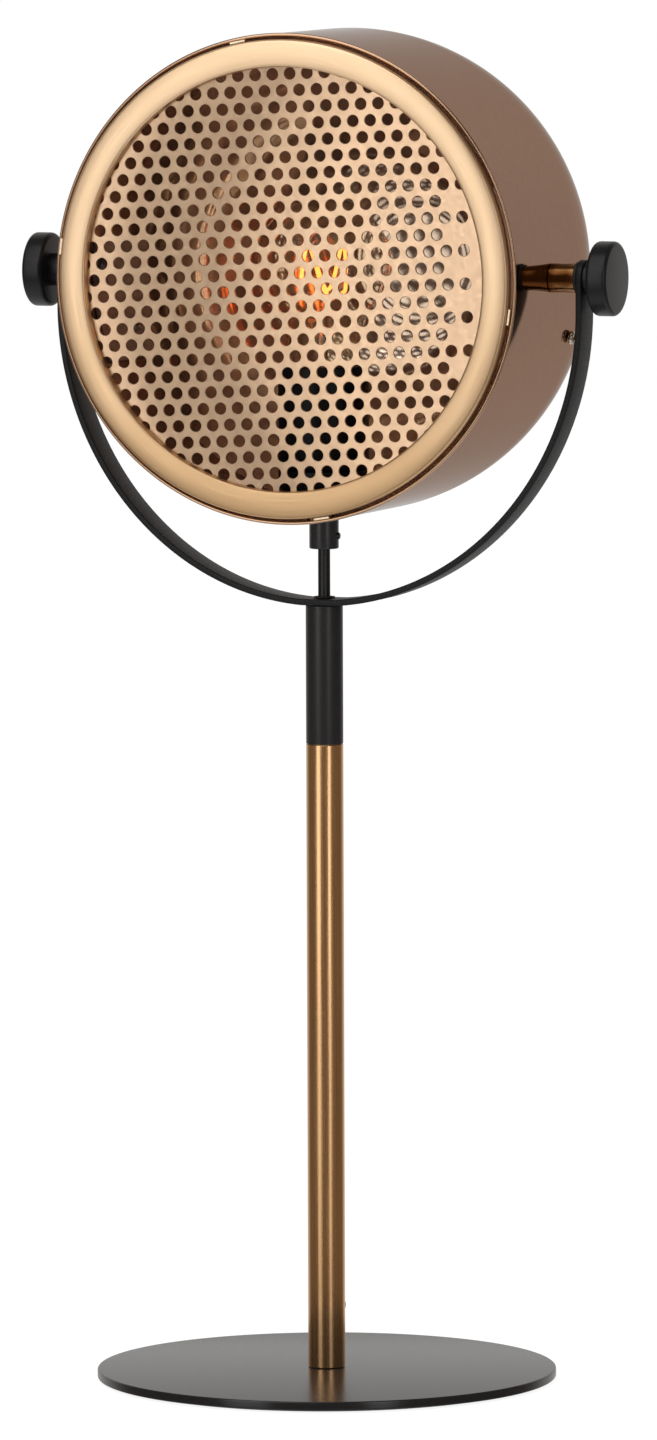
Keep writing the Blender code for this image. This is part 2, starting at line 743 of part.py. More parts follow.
def build_bezel(head):
    """The front ring, the grille and the clips, which pull out of the drum together."""
    bezel = joint_frame("bezel_pull", (0, 0, 0), head)
    turned("bezel_ring", ring_profile(), "pale_gold", WIDE_SIDES, "y", parent=bezel)
    placed("grille", grille_mesh(), "pale_gold", parent=bezel)
    clip = clip_mesh()
    for number, angle in enumerate(CLIP_ANGLES, 1):
        placed(f"bezel_clip_{number}", clip, "pale_gold", turn=radial_turn(angle), parent=bezel)


def build_pivot(side, sign, head, drum):
    """One pivot: the bolt through plate and drum, the spacer, the washer and the knob outside the yoke."""
    plate = build_plate(side, sign, head, drum)
    turn = (0, 0, 0 if sign > 0 else math.pi)
    hole = PIVOT_BOLT_RADIUS + RUNNING_GAP
    seat = seat_inside(plate_inner_radius, PIVOT_BOLT_HEAD_RADIUS)
    tip = knob_start + knob_bore_depth - SEAT_GAP
    place = {"turn": turn, "parent": head}
    cutter = drilled(
        drum, f"pivot_hole_{side}", hole, seat - CUT_OVERRUN, DRUM_RADIUS + CUT_OVERRUN, "x", **place
    )
    combined(plate, cutter, "DIFFERENCE")
    bolt = screw_profile(PIVOT_BOLT_RADIUS, PIVOT_BOLT_HEAD_RADIUS, PIVOT_BOLT_HEAD_HEIGHT, seat, tip)
    turned(f"pivot_bolt_{side}", bolt, "zinc_steel", SMALL_SIDES, "x", **place)
    spacer_middle = (spacer_start + spacer_end) / 2
    spacer = [
        (hole, spacer_start),
        (SPACER_RADIUS, spacer_start),
        (SPACER_RADIUS - SPACER_WAIST, spacer_middle),
        (SPACER_RADIUS, spacer_end),
        (hole, spacer_end),
    ]
    turned(f"pivot_spacer_{side}", spacer, "brass", MIDDLE_SIDES, "x", **place)
    washer = tube_profile(PIVOT_WASHER_RADIUS, hole, washer_start, washer_end)
    turned(f"pivot_washer_{side}", washer, "rubber", MIDDLE_SIDES, "x", **place)

    knob_axis = joint_frame(f"knob_{side}_axis", (0, 0, 0), head)
    place = {"turn": turn, "parent": knob_axis}
    shoulder = knob_start + KNOB_NECK_LENGTH
    face = shoulder + KNOB_DEPTH
    rim = KNOB_RADIUS - KNOB_EDGE_ROUND
    quarter = math.pi / 2
    bore = hole + KNOB_INSERT_WALL + RUNNING_GAP
    bore_end = knob_start + knob_bore_depth
    knob = [
        (0, face),
        *arc((rim, face - KNOB_EDGE_ROUND), KNOB_EDGE_ROUND, quarter, 0, ROUND_STEPS),
        *arc((rim, shoulder + KNOB_EDGE_ROUND), KNOB_EDGE_ROUND, 0, -quarter, ROUND_STEPS),
        (KNOB_NECK_RADIUS, shoulder),
        (KNOB_NECK_RADIUS, knob_start),
        (bore, knob_start),
        (bore, bore_end),
        (0, bore_end),
    ]
    turned(f"knob_{side}", knob, "black_plastic", MIDDLE_SIDES, "x", **place)
    insert_start = knob_start + SEAT_GAP
    insert = tube_profile(hole + KNOB_INSERT_WALL, hole, insert_start, insert_start + insert_length)
    turned(f"knob_insert_{side}", insert, "brass", SMALL_SIDES, "x", **place)


def build_lampholder(head, drum):
    """The cord grip under the drum, the nipple through its wall and the lampholder on top."""
    flex_bore = FLEX_RADIUS + RUNNING_GAP
    nipple_hole = NIPPLE_RADIUS + RUNNING_GAP
    drilled(
        drum,
        "nipple_hole",
        nipple_hole,
        -DRUM_RADIUS - CUT_OVERRUN,
        CUT_OVERRUN - drum_inner_radius,
        parent=head,
    )
    step = nipple_bottom - SEAT_GAP
    grip_profile = [
        (flex_bore, grip_bottom),
        (GRIP_RADIUS, grip_bottom),
        (GRIP_RADIUS, grip_top),
        (nipple_hole, grip_top),
        (nipple_hole, step),
        (flex_bore, step),
    ]
    grip = turned("cord_grip", grip_profile, "black_satin", parent=head)
    screw_height = grip_bottom + GRIP_SCREW_FROM_END
    screw_place = {"location": (0, 0, screw_height), "parent": head}
    screw_hole = GRIP_SCREW_RADIUS + RUNNING_GAP
    drilled(grip, "grip_screw_hole", screw_hole, 0, GRIP_RADIUS + CUT_OVERRUN, "x", **screw_place)
    grip_screw = rod_profile(GRIP_SCREW_RADIUS, flex_bore, GRIP_RADIUS + GRIP_SCREW_PROUD)
    turned("cord_grip_screw", grip_screw, "black_satin", SMALL_SIDES, "x", **screw_place)
    nipple = tube_profile(NIPPLE_RADIUS, flex_bore, nipple_bottom, nipple_top)
    turned("holder_nipple", nipple, "brass", SMALL_SIDES, parent=head)
    nut = turned("holder_nut", rod_profile(NUT_RADIUS, nut_bottom, nut_top), "brass", HEX_SIDES, parent=head)
    drilled(nut, "nut_hole", nipple_hole, nut_bottom - CUT_OVERRUN, nut_top + CUT_OVERRUN, parent=head)

    ledge = holder_inner_radius - HOLDER_SHOULDER
    cap_floor = holder_cap_bottom + HOLDER_CAP_FLOOR
    cap = [
        (nipple_hole, holder_cap_bottom),
        (HOLDER_CAP_NECK_RADIUS, holder_cap_bottom),
        (HOLDER_RADIUS, holder_cap_top - HOLDER_CAP_HEIGHT / 2),
        (HOLDER_RADIUS, holder_cap_top),
        (ledge, holder_cap_top),
        (HOLDER_CAP_NECK_RADIUS - HOLDER_WALL, cap_floor),
        (nipple_hole, cap_floor),
    ]
    turned("holder_cap", cap, "black_plastic", parent=head)
    body_top = holder_body_bottom + HOLDER_BODY_LENGTH
    body = tube_profile(HOLDER_RADIUS, holder_inner_radius, holder_body_bottom, body_top)
    turned("holder_body", body, "black_plastic", parent=head)
    insert = rod_profile(holder_inner_radius - RUNNING_GAP, holder_body_bottom, insert_top)
    turned("holder_insert", insert, "ceramic", parent=head)
    shell_inner = BULB_CAP_RADIUS + RUNNING_GAP
    shell = tube_profile(
        shell_inner + SCREW_SHELL_WALL, shell_inner, contact_bottom, contact_bottom + SCREW_SHELL_HEIGHT
    )
    turned("holder_screw_shell", shell, "brass", parent=head)
    contact = rod_profile(CONTACT_RADIUS, contact_bottom, contact_bottom + CONTACT_HEIGHT)
    turned("holder_contact", contact, "brass", SMALL_SIDES, parent=head)

    start = flex_top + SEAT_GAP
    end = holder_body_bottom - SEAT_GAP
    half_way = (start + end) / 2
    for name, look, sign in (("core_live", "brown_core", 1), ("core_neutral", "blue_core", -1)):
        near = sign * FLEX_RADIUS / 2
        far = sign * CORE_SPREAD
        points = [
            (near, 0, start),
            (near, 0, start + CORE_RADIUS),
            ((near + far) / 2, 0, half_way),
            (far, 0, end - CORE_RADIUS),
            (far, 0, end),
        ]
        tube_along(name, points, CORE_RADIUS, look, parent=head)


def bulb_glass_profile():
    """A round bulb on a tapered neck, as a chain from its top down the inside and up the outside."""
    neck = BULB_CAP_RADIUS - BULB_CAP_WALL - RUNNING_GAP
    bottom = socket_floor + SEAT_GAP
    centre = (0, BULB_LENGTH - BULB_RADIUS)
    top = math.pi / 2
    steps = BULB_SPHERE_STEPS
    outside = arc(centre, BULB_RADIUS, BULB_SHOULDER_ANGLE, top, steps)
    inside = arc(centre, BULB_RADIUS - BULB_WALL, top, BULB_SHOULDER_ANGLE, steps)
    inside[0] = (0, inside[0][1])
    outside[-1] = (0, outside[-1][1])
    return [
        *inside,
        (neck - BULB_WALL, BULB_CAP_HEIGHT),
        (neck - BULB_WALL, bottom),
        (neck, bottom),
        (neck, BULB_CAP_HEIGHT),
        *outside,
    ]


def filament_points():
    """A wavy cage round the stem, whose two ends come in to the stem's sides."""
    stem_top = socket_floor + SEAT_GAP + STEM_LENGTH
    middle = stem_top + FILAMENT_HEIGHT_ABOVE_STEM
    lead_radius = STEM_RADIUS + SEAT_GAP + FILAMENT_RADIUS
    lead_height = stem_top - STEM_RADIUS
    cage = []
    for step in range(FILAMENT_POINTS + 1):
        share = step / FILAMENT_POINTS
        angle = FILAMENT_SWEEP * share
        height = middle - FILAMENT_SWING * math.cos(2 * math.pi * FILAMENT_WAVES * share)
        cage.append(
            (FILAMENT_CAGE_RADIUS * math.cos(angle), FILAMENT_CAGE_RADIUS * math.sin(angle), height)
        )
    first = (lead_radius, 0, lead_height)
    last = (lead_radius * math.cos(FILAMENT_SWEEP), lead_radius * math.sin(FILAMENT_SWEEP), lead_height)
    return [first, *cage, last]


def build_bulb(head):
    """The bulb, which screws up and out of the lampholder."""
    bulb = joint_frame("bulb_seat", (0, 0, bulb_bottom), head)
    socket_radius = BULB_CAP_RADIUS - BULB_CAP_WALL
    cap = [
        (0, 0),
        (BULB_CAP_TIP_RADIUS, 0),
        (BULB_CAP_RADIUS, BULB_CAP_TIP_HEIGHT),
        (BULB_CAP_RADIUS, BULB_CAP_HEIGHT),
        (socket_radius, BULB_CAP_HEIGHT),
        (socket_radius, socket_floor),
        (0, socket_floor),
    ]
    turned("bulb_cap", cap, "zinc_steel", parent=bulb)
    turned("bulb_glass", bulb_glass_profile(), "clear_glass", parent=bulb)
    stem_bottom = socket_floor + SEAT_GAP
    stem = [
        (0, stem_bottom),
        (STEM_FLARE_RADIUS, stem_bottom),
        (STEM_RADIUS, stem_bottom + STEM_FLARE_HEIGHT),
        (STEM_RADIUS, stem_bottom + STEM_LENGTH),
        (0, stem_bottom + STEM_LENGTH),
    ]
    turned("bulb_stem", stem, "clear_glass", SMALL_SIDES, parent=bulb)
    tube_along("bulb_filament", filament_points(), FILAMENT_RADIUS, "filament", parent=bulb)


def flex_points():
    """The flex's line, from inside the lampholder's cap to the outlet at the back of the pole.

    Near the foot it leans to the front of the bore, so that its bend can be as wide as the tube lets it.
    """
    outlet_height = pole_foot_top + OUTLET_ABOVE_FOOT
    lean = POLE_RADIUS - POLE_WALL - RUNNING_GAP - FLEX_RADIUS
    bend = lean + POLE_RADIUS - POLE_WALL
    bend_top = outlet_height + bend
    top = pivot_height + flex_top
    bottom = bend_top + FLEX_LEAN_LENGTH
    count = math.ceil((top - bottom) / FLEX_POINT_STEP)
    points = [(0, 0, top + (bottom - top) * step / count) for step in range(count + 1)]
    lean_steps = FLEX_BEND_STEPS // 2
    for step in range(1, lean_steps + 1):
        share = step / lean_steps
        ease = share * share * (3 - 2 * share)
        points.append((0, -lean * ease, bottom - FLEX_LEAN_LENGTH * share))
    for step in range(1, FLEX_BEND_STEPS + 1):
        angle = math.pi / 2 * step / FLEX_BEND_STEPS
        points.append((0, bend * (1 - math.cos(angle)) - lean, bend_top - bend * math.sin(angle)))
    points.append((0, POLE_RADIUS + GROMMET_PROUD, outlet_height))
    return points


def build_flex():
    """The two-core flex between the head and the outlet."""
    tube_along("head_flex", flex_points(), FLEX_RADIUS, "rubber")


def build_lamp():
    """The whole lamp at rest, facing -Y."""
    clear_scene()
    build_base()
    build_pole()
    build_yoke()
    head = joint_frame("head_tilt", (0, 0, pivot_height))
    drum = build_drum(head)
    build_bezel(head)
    for side, sign in (("right", 1), ("left", -1)):
        build_pivot(side, sign, head, drum)
    build_lampholder(head, drum)
    build_bulb(head)
    build_flex()


build_lamp()
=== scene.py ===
"""Looks of a table lamp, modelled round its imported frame.

A perforated drum shade tilts in a yoke, on a copper pole and a round black base. Each class from
Base on is one sub-assembly: its fields are sizes in metres, and its methods make the meshes and
dress them. Every surface is worked out with numpy on a grid of two parameters: a place round the
piece and a place along its profile. The frame says where each piece goes.
"""

import json
import logging
import math
from abc import ABC, abstractmethod
from dataclasses import dataclass
from enum import Enum
from typing import Sequence

import bmesh
import bpy
import numpy as np
from mathutils import Matrix, Vector

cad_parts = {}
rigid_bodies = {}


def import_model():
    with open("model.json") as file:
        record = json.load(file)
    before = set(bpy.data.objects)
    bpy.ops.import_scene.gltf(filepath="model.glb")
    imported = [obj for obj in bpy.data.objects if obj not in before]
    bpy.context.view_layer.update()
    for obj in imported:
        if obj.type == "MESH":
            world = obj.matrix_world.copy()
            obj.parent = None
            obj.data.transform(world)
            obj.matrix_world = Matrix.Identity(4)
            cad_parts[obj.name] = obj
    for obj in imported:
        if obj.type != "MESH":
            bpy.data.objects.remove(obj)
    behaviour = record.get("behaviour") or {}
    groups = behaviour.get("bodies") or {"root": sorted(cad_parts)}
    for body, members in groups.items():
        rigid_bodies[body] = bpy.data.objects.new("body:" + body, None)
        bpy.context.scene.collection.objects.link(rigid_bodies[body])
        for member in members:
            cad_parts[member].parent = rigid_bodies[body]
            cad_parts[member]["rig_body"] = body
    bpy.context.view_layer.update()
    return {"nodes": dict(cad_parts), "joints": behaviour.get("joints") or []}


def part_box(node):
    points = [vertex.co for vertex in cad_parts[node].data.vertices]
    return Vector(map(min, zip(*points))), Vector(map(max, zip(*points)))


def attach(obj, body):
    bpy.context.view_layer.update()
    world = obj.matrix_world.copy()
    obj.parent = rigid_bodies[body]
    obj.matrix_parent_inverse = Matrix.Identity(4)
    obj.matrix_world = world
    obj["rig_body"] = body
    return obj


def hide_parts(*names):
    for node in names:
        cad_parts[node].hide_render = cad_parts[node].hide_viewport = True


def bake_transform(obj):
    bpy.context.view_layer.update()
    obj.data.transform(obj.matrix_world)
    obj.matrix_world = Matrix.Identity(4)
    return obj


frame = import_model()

LOG = logging.getLogger("table_lamp")
PIVOT = Vector(next(joint["pos_m"] for joint in frame["joints"] if joint["name"] == "head_tilt"))
GAP = 0.0003  # between neighbouring pieces
MERGE_DISTANCE = 1e-6
SMOOTH_ANGLE = math.radians(32)
TINY = 1e-9
X, Y, Z = range(3)
LARGE, MEDIUM, SMALL, SLIGHT = 96, 64, 48, 32  # how many places there are round a piece's axis
METAL, LACQUER, PAINT = 1.0, 0.7, 0.0  # how metallic a finish is
GRAIN_RANGE = (0.3, 0.7)  # where most of a noise's values lie
GRAIN_DETAIL = 4.0
GRAIN_ROUGHNESS = 0.6

Triple = tuple[float, float, float]
Socket = bpy.types.NodeSocket
Tree = bpy.types.NodeTree


class Axis(Enum):
    """The direction that a turned piece's own axis points in; each value is a basis as columns."""

    X = ((0, 0, 1), (1, 0, 0), (0, 1, 0))
    MINUS_X = ((0, 0, -1), (-1, 0, 0), (0, 1, 0))
    Y = ((1, 0, 0), (0, 0, 1), (0, 1, 0))
    Z = ((1, 0, 0), (0, 1, 0), (0, 0, 1))


class Coordinates(Enum):
    """What a finish's pattern is laid out on."""

    OBJECT = "Object"
    UV = "UV"


@dataclass(frozen=True)
class Place:
    """A piece's own origin and basis, given in the lamp's frame."""

    origin: Triple = (0.0, 0.0, 0.0)
    basis: tuple[Triple, ...] = Axis.Z.value

    def put(self, points: np.ndarray) -> np.ndarray:
        """The points turned by the basis and moved to the origin."""
        return points @ np.array(self.basis, float).T + np.array(self.origin, float)

    @classmethod
    def outward(cls, angle: float, along: float) -> "Place":
        """A place on the drum's wall, whose own Z points away from the drum's axis.

        Args:
            angle: Where round the axis, from +X towards +Z, in radians.
            along: How far behind the pivot, in metres.

        Returns:
            The place, with its own Y along the drum's axis.
        """
        out = (math.cos(angle), 0.0, math.sin(angle))
        side = (math.sin(angle), 0.0, -math.cos(angle))
        return cls((PIVOT.x, PIVOT.y + along, PIVOT.z), tuple(zip(side, (0.0, 1.0, 0.0), out)))


DRUM_AXIS = Place((PIVOT.x, 0, PIVOT.z), Axis.Y.value)


@dataclass(frozen=True)
class Extent:
    """A round node's largest radius and its two ends along its axis."""

    radius: float
    start: float
    end: float

    @classmethod
    def of(cls, node: str, axis: int) -> "Extent":
        """The extent of a node of the frame.

        Args:
            node: The node.
            axis: Its axis: X, Y or Z.

        Returns:
            The extent.
        """
        low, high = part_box(node)
        across = (axis + 1) % 3
        return cls((high[across] - low[across]) / 2, low[axis], high[axis])

    def section(self, hole: float = 0.0) -> list[tuple[float, float]]:
        """The corners of a plain disc's section or, with a hole, of a ring's, as (radius, along)."""
        return [(hole, self.start), (self.radius, self.start), (self.radius, self.end), (hole, self.end)]


def fill(tree: Tree, node: bpy.types.Node, inputs: dict[str | int, object]) -> None:
    """Fills a node's inputs.

    Args:
        tree: The nodes that it is one of.
        node: The node.
        inputs: For each input a plain value, or the output that is linked to it.
    """
    for name, value in inputs.items():
        if isinstance(value, Socket):
            tree.links.new(value, node.inputs[name])
        else:
            node.inputs[name].default_value = value


def add_node(tree: Tree, kind: str, outlet: str, inputs: dict[str | int, object], **options: str) -> Socket:
    """Adds a node, sets its options and fills its inputs.

    Args:
        tree: The nodes to add it to.
        kind: The node's type, without the ShaderNode that starts its name.
        outlet: The output to return.
        inputs: For each input a plain value, or the output that is linked to it.
        **options: The node's own options.

    Returns:
        The output.
    """
    node = tree.nodes.new(f"ShaderNode{kind}")
    for option, value in options.items():
        setattr(node, option, value)
    fill(tree, node, inputs)
    return node.outputs[outlet]


def combined(tree: Tree, operation: str, first: Socket, second: Socket | float) -> Socket:
    """The result of a sum on two values, such as MAXIMUM."""
    return add_node(tree, "Math", "Value", {0: first, 1: second}, operation=operation)


def ranged(
    tree: Tree, value: Socket, source: tuple[float, float], target: tuple[float, float], ease: str = "LINEAR"
) -> Socket:
    """A value that goes from one end of the target to the other while another crosses the source."""
    ends = dict(zip(("From Min", "From Max", "To Min", "To Max"), source + target))
    return add_node(tree, "MapRange", "Result", {"Value": value, **ends}, interpolation_type=ease)


def mixed(tree: Tree, share: Socket, first: Socket, second: Socket) -> Socket:
    """Two shaders mixed: a share of 0 gives the first and 1 the second."""
    return add_node(tree, "MixShader", "Shader", {"Fac": share, 1: first, 2: second})


def ramp(tree: Tree, value: Socket, stops: Sequence[tuple[float, Triple]], ease: str = "LINEAR") -> Socket:
    """A colour that runs through stops while a value goes from 0 to 1.

    Args:
        tree: The nodes to add to.
        value: The value.
        stops: Each stop's position and colour.
        ease: How the colour goes from one stop to the next.

    Returns:
        The colour.
    """
    node = tree.nodes.new("ShaderNodeValToRGB")
    node.color_ramp.interpolation = ease
    elements = node.color_ramp.elements
    while len(elements) < len(stops):
        elements.new(1.0)
    for element, (position, colour) in zip(elements, stops):
        element.position = position
        element.color = (*colour, 1)
    tree.links.new(value, node.inputs["Fac"])
    return node.outputs["Color"]


class Surface(ABC):
    """What a piece is made of. Each kind has a name and paints its own nodes."""

    name: str

    @property
    def label(self) -> str:
        """The name of its material."""
        return self.name

    @abstractmethod
    def paint(self, tree: Tree, shader: bpy.types.Node) -> None:
        """Fills the material's nodes.

        Args:
            tree: The nodes.
            shader: The one of them that the others serve.
        """

    def material(self) -> bpy.types.Material:
        """Makes its material when it is first asked for.

        Returns:
            The material.
        """
        if self.label in bpy.data.materials:
            return bpy.data.materials[self.label]
        made = bpy.data.materials.new(self.label)
        made.use_nodes = True
        self.paint(made.node_tree, made.node_tree.nodes["Principled BSDF"])
        return made


@dataclass(frozen=True)
class Finish(Surface):
    """A metal, paint, plastic or rubber surface with its own fine grain.

    The grain is a noise that is stretched by stretch. It shifts the colour by tone_share, the
    roughness by rough_share, and raises the surface by relief metres. The painted_shade_bands paint
    shade and reflection into the colour: they are pairs of a place along painted_shade_axis and the
    share of the colour that is left there. They bend towards that axis above and below the pivot,
    by bow times the square of the height from it. Red, green and blue keep the share to the powers
    in painted_shade_warmth, so the painted shade is warmer.
    """

    name: str
    colour: Triple
    roughness: float
    metallic: float = PAINT
    stretch: Triple = (900.0, 900.0, 900.0)
    coordinates: Coordinates = Coordinates.OBJECT
    tone_share: float = 0.08
    rough_share: float = 0.2
    relief: float = 0.00001
    coat: float = 0.0
    coat_roughness: float = 0.1
    specular: float = 0.5
    sheen: float = 0.0
    edge_tint: Triple = (1.0, 1.0, 1.0)
    # painted shade: bands that dim the colour where shade and darker reflections fall
    painted_shade_bands: tuple[tuple[float, float], ...] = ()
    painted_shade_warmth: Triple = (1.0, 1.0, 1.0)
    painted_shade_axis: str = "X"
    bow: float = 0.0

    @property
    def label(self) -> str:
        """The name of its material, which is never one of the frame's own."""
        return f"{self.name}_finish"

    def paint(self, tree: Tree, shader: bpy.types.Node) -> None:
        """Fills the material's nodes.

        Args:
            tree: The nodes.
            shader: The one of them that the others serve.
        """
        place = tree.nodes.new("ShaderNodeTexCoord").outputs
        on = place[self.coordinates.value]
        spot = add_node(tree, "Mapping", "Vector", {"Vector": on, "Scale": self.stretch})
        noise = {"Vector": spot, "Scale": 1.0, "Detail": GRAIN_DETAIL, "Roughness": GRAIN_ROUGHNESS}
        grain = add_node(tree, "TexNoise", "Fac", noise)
        shades = [tuple(min(1, c * (1 + side * self.tone_share)) for c in self.colour) for side in (-1, 1)]
        tone = ramp(tree, grain, list(zip(GRAIN_RANGE, shades)))
        gloss = tuple(self.roughness * (1 + side * self.rough_share) for side in (-1, 1))
        fill(
            tree,
            shader,
            {
                "Base Color": self.with_painted_shade(tree, place["Object"], tone),
                "Roughness": ranged(tree, grain, GRAIN_RANGE, gloss),
                "Normal": add_node(tree, "Bump", "Normal", {"Height": grain, "Distance": self.relief}),
                "Metallic": self.metallic,
                "Coat Weight": self.coat,
                "Coat Roughness": self.coat_roughness,
                "Specular IOR Level": self.specular,
                "Sheen Weight": self.sheen,
                "Specular Tint": (*self.edge_tint, 1),
            },
        )

    def with_painted_shade(self, tree: Tree, place: Socket, colour: Socket) -> Socket:
        """The colour, dimmed by the bands of painted shade.

        Args:
            tree: The material's nodes.
            place: The place on the object.
            colour: The colour without the painted shade.

        Returns:
            The colour to use.
        """
        if not self.painted_shade_bands:
            return colour
        first, last = self.painted_shade_bands[0][0], self.painted_shade_bands[-1][0]
        split = tree.nodes.new("ShaderNodeSeparateXYZ")
        tree.links.new(place, split.inputs["Vector"])
        rise = combined(tree, "SUBTRACT", split.outputs["Z"], PIVOT.z)
        bend = combined(tree, "MULTIPLY", combined(tree, "MULTIPLY", rise, rise), -self.bow)
        across = combined(tree, "ADD", bend, split.outputs[self.painted_shade_axis])
        stops = [
            ((spot - first) / (last - first), tuple(share**power for power in self.painted_shade_warmth))
            for spot, share in self.painted_shade_bands
        ]
        # painted shade: the colour is multiplied by the bands' shares
        dim = ramp(tree, ranged(tree, across, (first, last), (0.0, 1.0)), stops, "EASE")
        both = {"Factor": 1.0, "A": colour, "B": dim}
        return add_node(tree, "Mix", "Result", both, data_type="RGBA", blend_type="MULTIPLY")


@dataclass(frozen=True)
class ClearGlass(Surface):
    """Thin clear glass, faintly warm, with a little streaking in its gloss, that casts no shadow."""

    name: str = "clear_bulb_glass"
    tint: Triple = (1.0, 0.97, 0.9)
    roughness: float = 0.02
    refraction: float = 1.45
    streak_scale: float = 60.0

    def paint(self, tree: Tree, shader: bpy.types.Node) -> None:
        """Fills the material's nodes.

        Args:
            tree: The nodes.
            shader: The one of them that the others serve.
        """
        place = add_node(tree, "TexCoord", "Object", {})
        streaks = add_node(tree, "TexNoise", "Fac", {"Vector": place, "Scale": self.streak_scale})
        tint = (*self.tint, 1)
        glass = {
            "Base Color": tint,
            "Transmission Weight": 1.0,
            "IOR": self.refraction,
            "Roughness": ranged(tree, streaks, (0.0, 1.0), (0.0, 2 * self.roughness)),
        }
        fill(tree, shader, glass)
        clear = add_node(tree, "BsdfTransparent", "BSDF", {"Color": tint})
        shadow = add_node(tree, "LightPath", "Is Shadow Ray", {})
        both = mixed(tree, shadow, shader.outputs["BSDF"], clear)
        tree.links.new(both, tree.nodes["Material Output"].inputs["Surface"])


@dataclass(frozen=True)
class Glow(Surface):
    """A surface that gives light, a little uneven along its length."""

    name: str = "glowing_filament"
    colour: Triple = (1.0, 0.21, 0.04)
    strength: float = 4.5
    low_share: float = 0.8
    bead_scale: float = 400.0
    roughness: float = 0.5

    def paint(self, tree: Tree, shader: bpy.types.Node) -> None:
        """Fills the material's nodes.

        Args:
            tree: The nodes.
            shader: The one of them that the others serve.
        """
        place = add_node(tree, "TexCoord", "Object", {})
        beads = add_node(tree, "TexNoise", "Fac", {"Vector": place, "Scale": self.bead_scale})
        low = tuple(c * self.low_share for c in self.colour)
        glow = {
            "Base Color": (*self.colour, 1),
            "Roughness": self.roughness,
            "Emission Strength": self.strength,
            "Emission Color": ramp(tree, beads, [(0.0, low), (1.0, self.colour)]),
        }
        fill(tree, shader, glow)


def evenly(scale: float) -> Triple:
    """The same stretch along all three axes."""
    return (scale, scale, scale)


SATIN_COPPER = Finish(
    "satin_copper_plate",
    (0.88, 0.53, 0.27),
    0.25,
    METAL,
    (1400.0, 1400.0, 14.0),
    rough_share=0.25,
    relief=0.000005,
)
SPACER_COPPER = Finish(
    "turned_copper", (0.27, 0.135, 0.05), 0.18, METAL, (30.0, 2200.0, 1.0), Coordinates.UV, relief=0.000003
)
PALE_GOLD = Finish(
    "pale_gold_ring",
    (0.97, 0.70, 0.45),
    0.36,
    METAL,
    (25.0, 2600.0, 1.0),
    Coordinates.UV,
    tone_share=0.05,
    relief=0.000004,
    # painted shade: the ring's colour is darker and warmer towards its bottom
    painted_shade_bands=((0.385, 0.60), (0.405, 0.64), (0.440, 0.80), (0.500, 1.0)),
    painted_shade_axis="Z",
    painted_shade_warmth=(0.8, 1.0, 1.35),
)
CLIP_GOLD = Finish("pale_gold_clip", (0.95, 0.76, 0.54), 0.35, METAL, evenly(600.0), tone_share=0.04)
BEAD_COPPER = Finish("copper_bead", (0.56, 0.37, 0.25), 0.16, METAL, evenly(600.0), tone_share=0.04)
GRILLE_GOLD = Finish(
    "pale_gold_sheet",
    (0.80, 0.56, 0.37),
    0.34,
    METAL,
    evenly(500.0),
    tone_share=0.06,
    relief=0.000008,
    # painted shade and reflection: the sheet is darker in a wide band left of its middle, bent by bow
    painted_shade_bands=((-0.104, 0.95), (-0.086, 0.88), (-0.070, 0.57), (-0.038, 0.51), (-0.006, 0.82), (0.018, 1.0)),
    bow=4.0,
)
COPPER_LACQUER = Finish(
    "copper_lacquer",
    (0.45, 0.30, 0.235),
    0.07,
    METAL,
    evenly(320.0),
    tone_share=0.04,
    relief=0.000002,
    edge_tint=(0.66, 0.56, 0.50),
)
DOME_COPPER = Finish(
    "bright_copper_inside",
    (0.97, 0.74, 0.55),
    0.05,
    LACQUER,
    evenly(260.0),
    relief=0.000004,
    # painted shade and reflection: the dome's inside is dark at its far left and dimmer about its middle
    painted_shade_bands=(
        (-0.104, 0.18),
        (-0.100, 0.25),
        (-0.093, 1.0),
        (-0.050, 0.95),
        (-0.015, 0.75),
        (0.020, 0.65),
        (0.048, 1.0),
    ),
    bow=4.0,
)
# painted shade: the straight wall inside the shade is a darker copy of the copper inside the dome
SHADED_WALL_COPPER = Finish(
    "painted_shade_copper_inside", (0.30, 0.165, 0.10), 0.1, LACQUER, evenly(260.0), relief=0.000004
)
BLACK_SATIN = Finish(
    "black_powder_coat", (0.012, 0.012, 0.013), 0.36, PAINT, evenly(1500.0), tone_share=0.25, relief=0.00002
)
BLACK_PLATE = Finish("black_plate_coat", (0.010, 0.010, 0.011), 0.20, PAINT, evenly(1500.0), tone_share=0.25)
BLACK_STRIP = Finish(
    "black_strip_coat", (0.007, 0.008, 0.009), 0.46, PAINT, evenly(1500.0), relief=0.00002, specular=0.3
)
BLACK_TURNED = Finish("black_turned_coat", (0.022, 0.022, 0.024), 0.3, PAINT, evenly(1500.0))
BLACK_PLASTIC = Finish(
    "black_moulded_plastic", (0.0075, 0.008, 0.009), 0.32, PAINT, evenly(2400.0), relief=0.00003, specular=0.3
)
DARK_STEEL = Finish("dark_steel_screw", (0.66, 0.58, 0.48), 0.12, METAL, evenly(1200.0), relief=0.000002)
BLACK_SCREW = Finish("blackened_screw", (0.05, 0.045, 0.04), 0.25, METAL, evenly(1200.0))
RUBBER = Finish("black_rubber", (0.012, 0.012, 0.012), 0.6, PAINT, evenly(1800.0), relief=0.00003)
SHEATH = Finish("flex_sheath", (0.010, 0.010, 0.011), 0.35, PAINT, (500.0, 500.0, 40.0), relief=0.00002)
PLAIN_BRASS = Finish("plain_brass", (0.78, 0.55, 0.28), 0.32, METAL)
ZINC = Finish("zinc_plate", (0.60, 0.60, 0.62), 0.34, METAL, evenly(700.0))
ROLLED_CAP = Finish("rolled_cap_metal", (0.72, 0.72, 0.70), 0.28, METAL, (400.0, 400.0, 900.0))
CERAMIC = Finish("glazed_ceramic", (0.80, 0.79, 0.74), 0.22, coat=0.6)
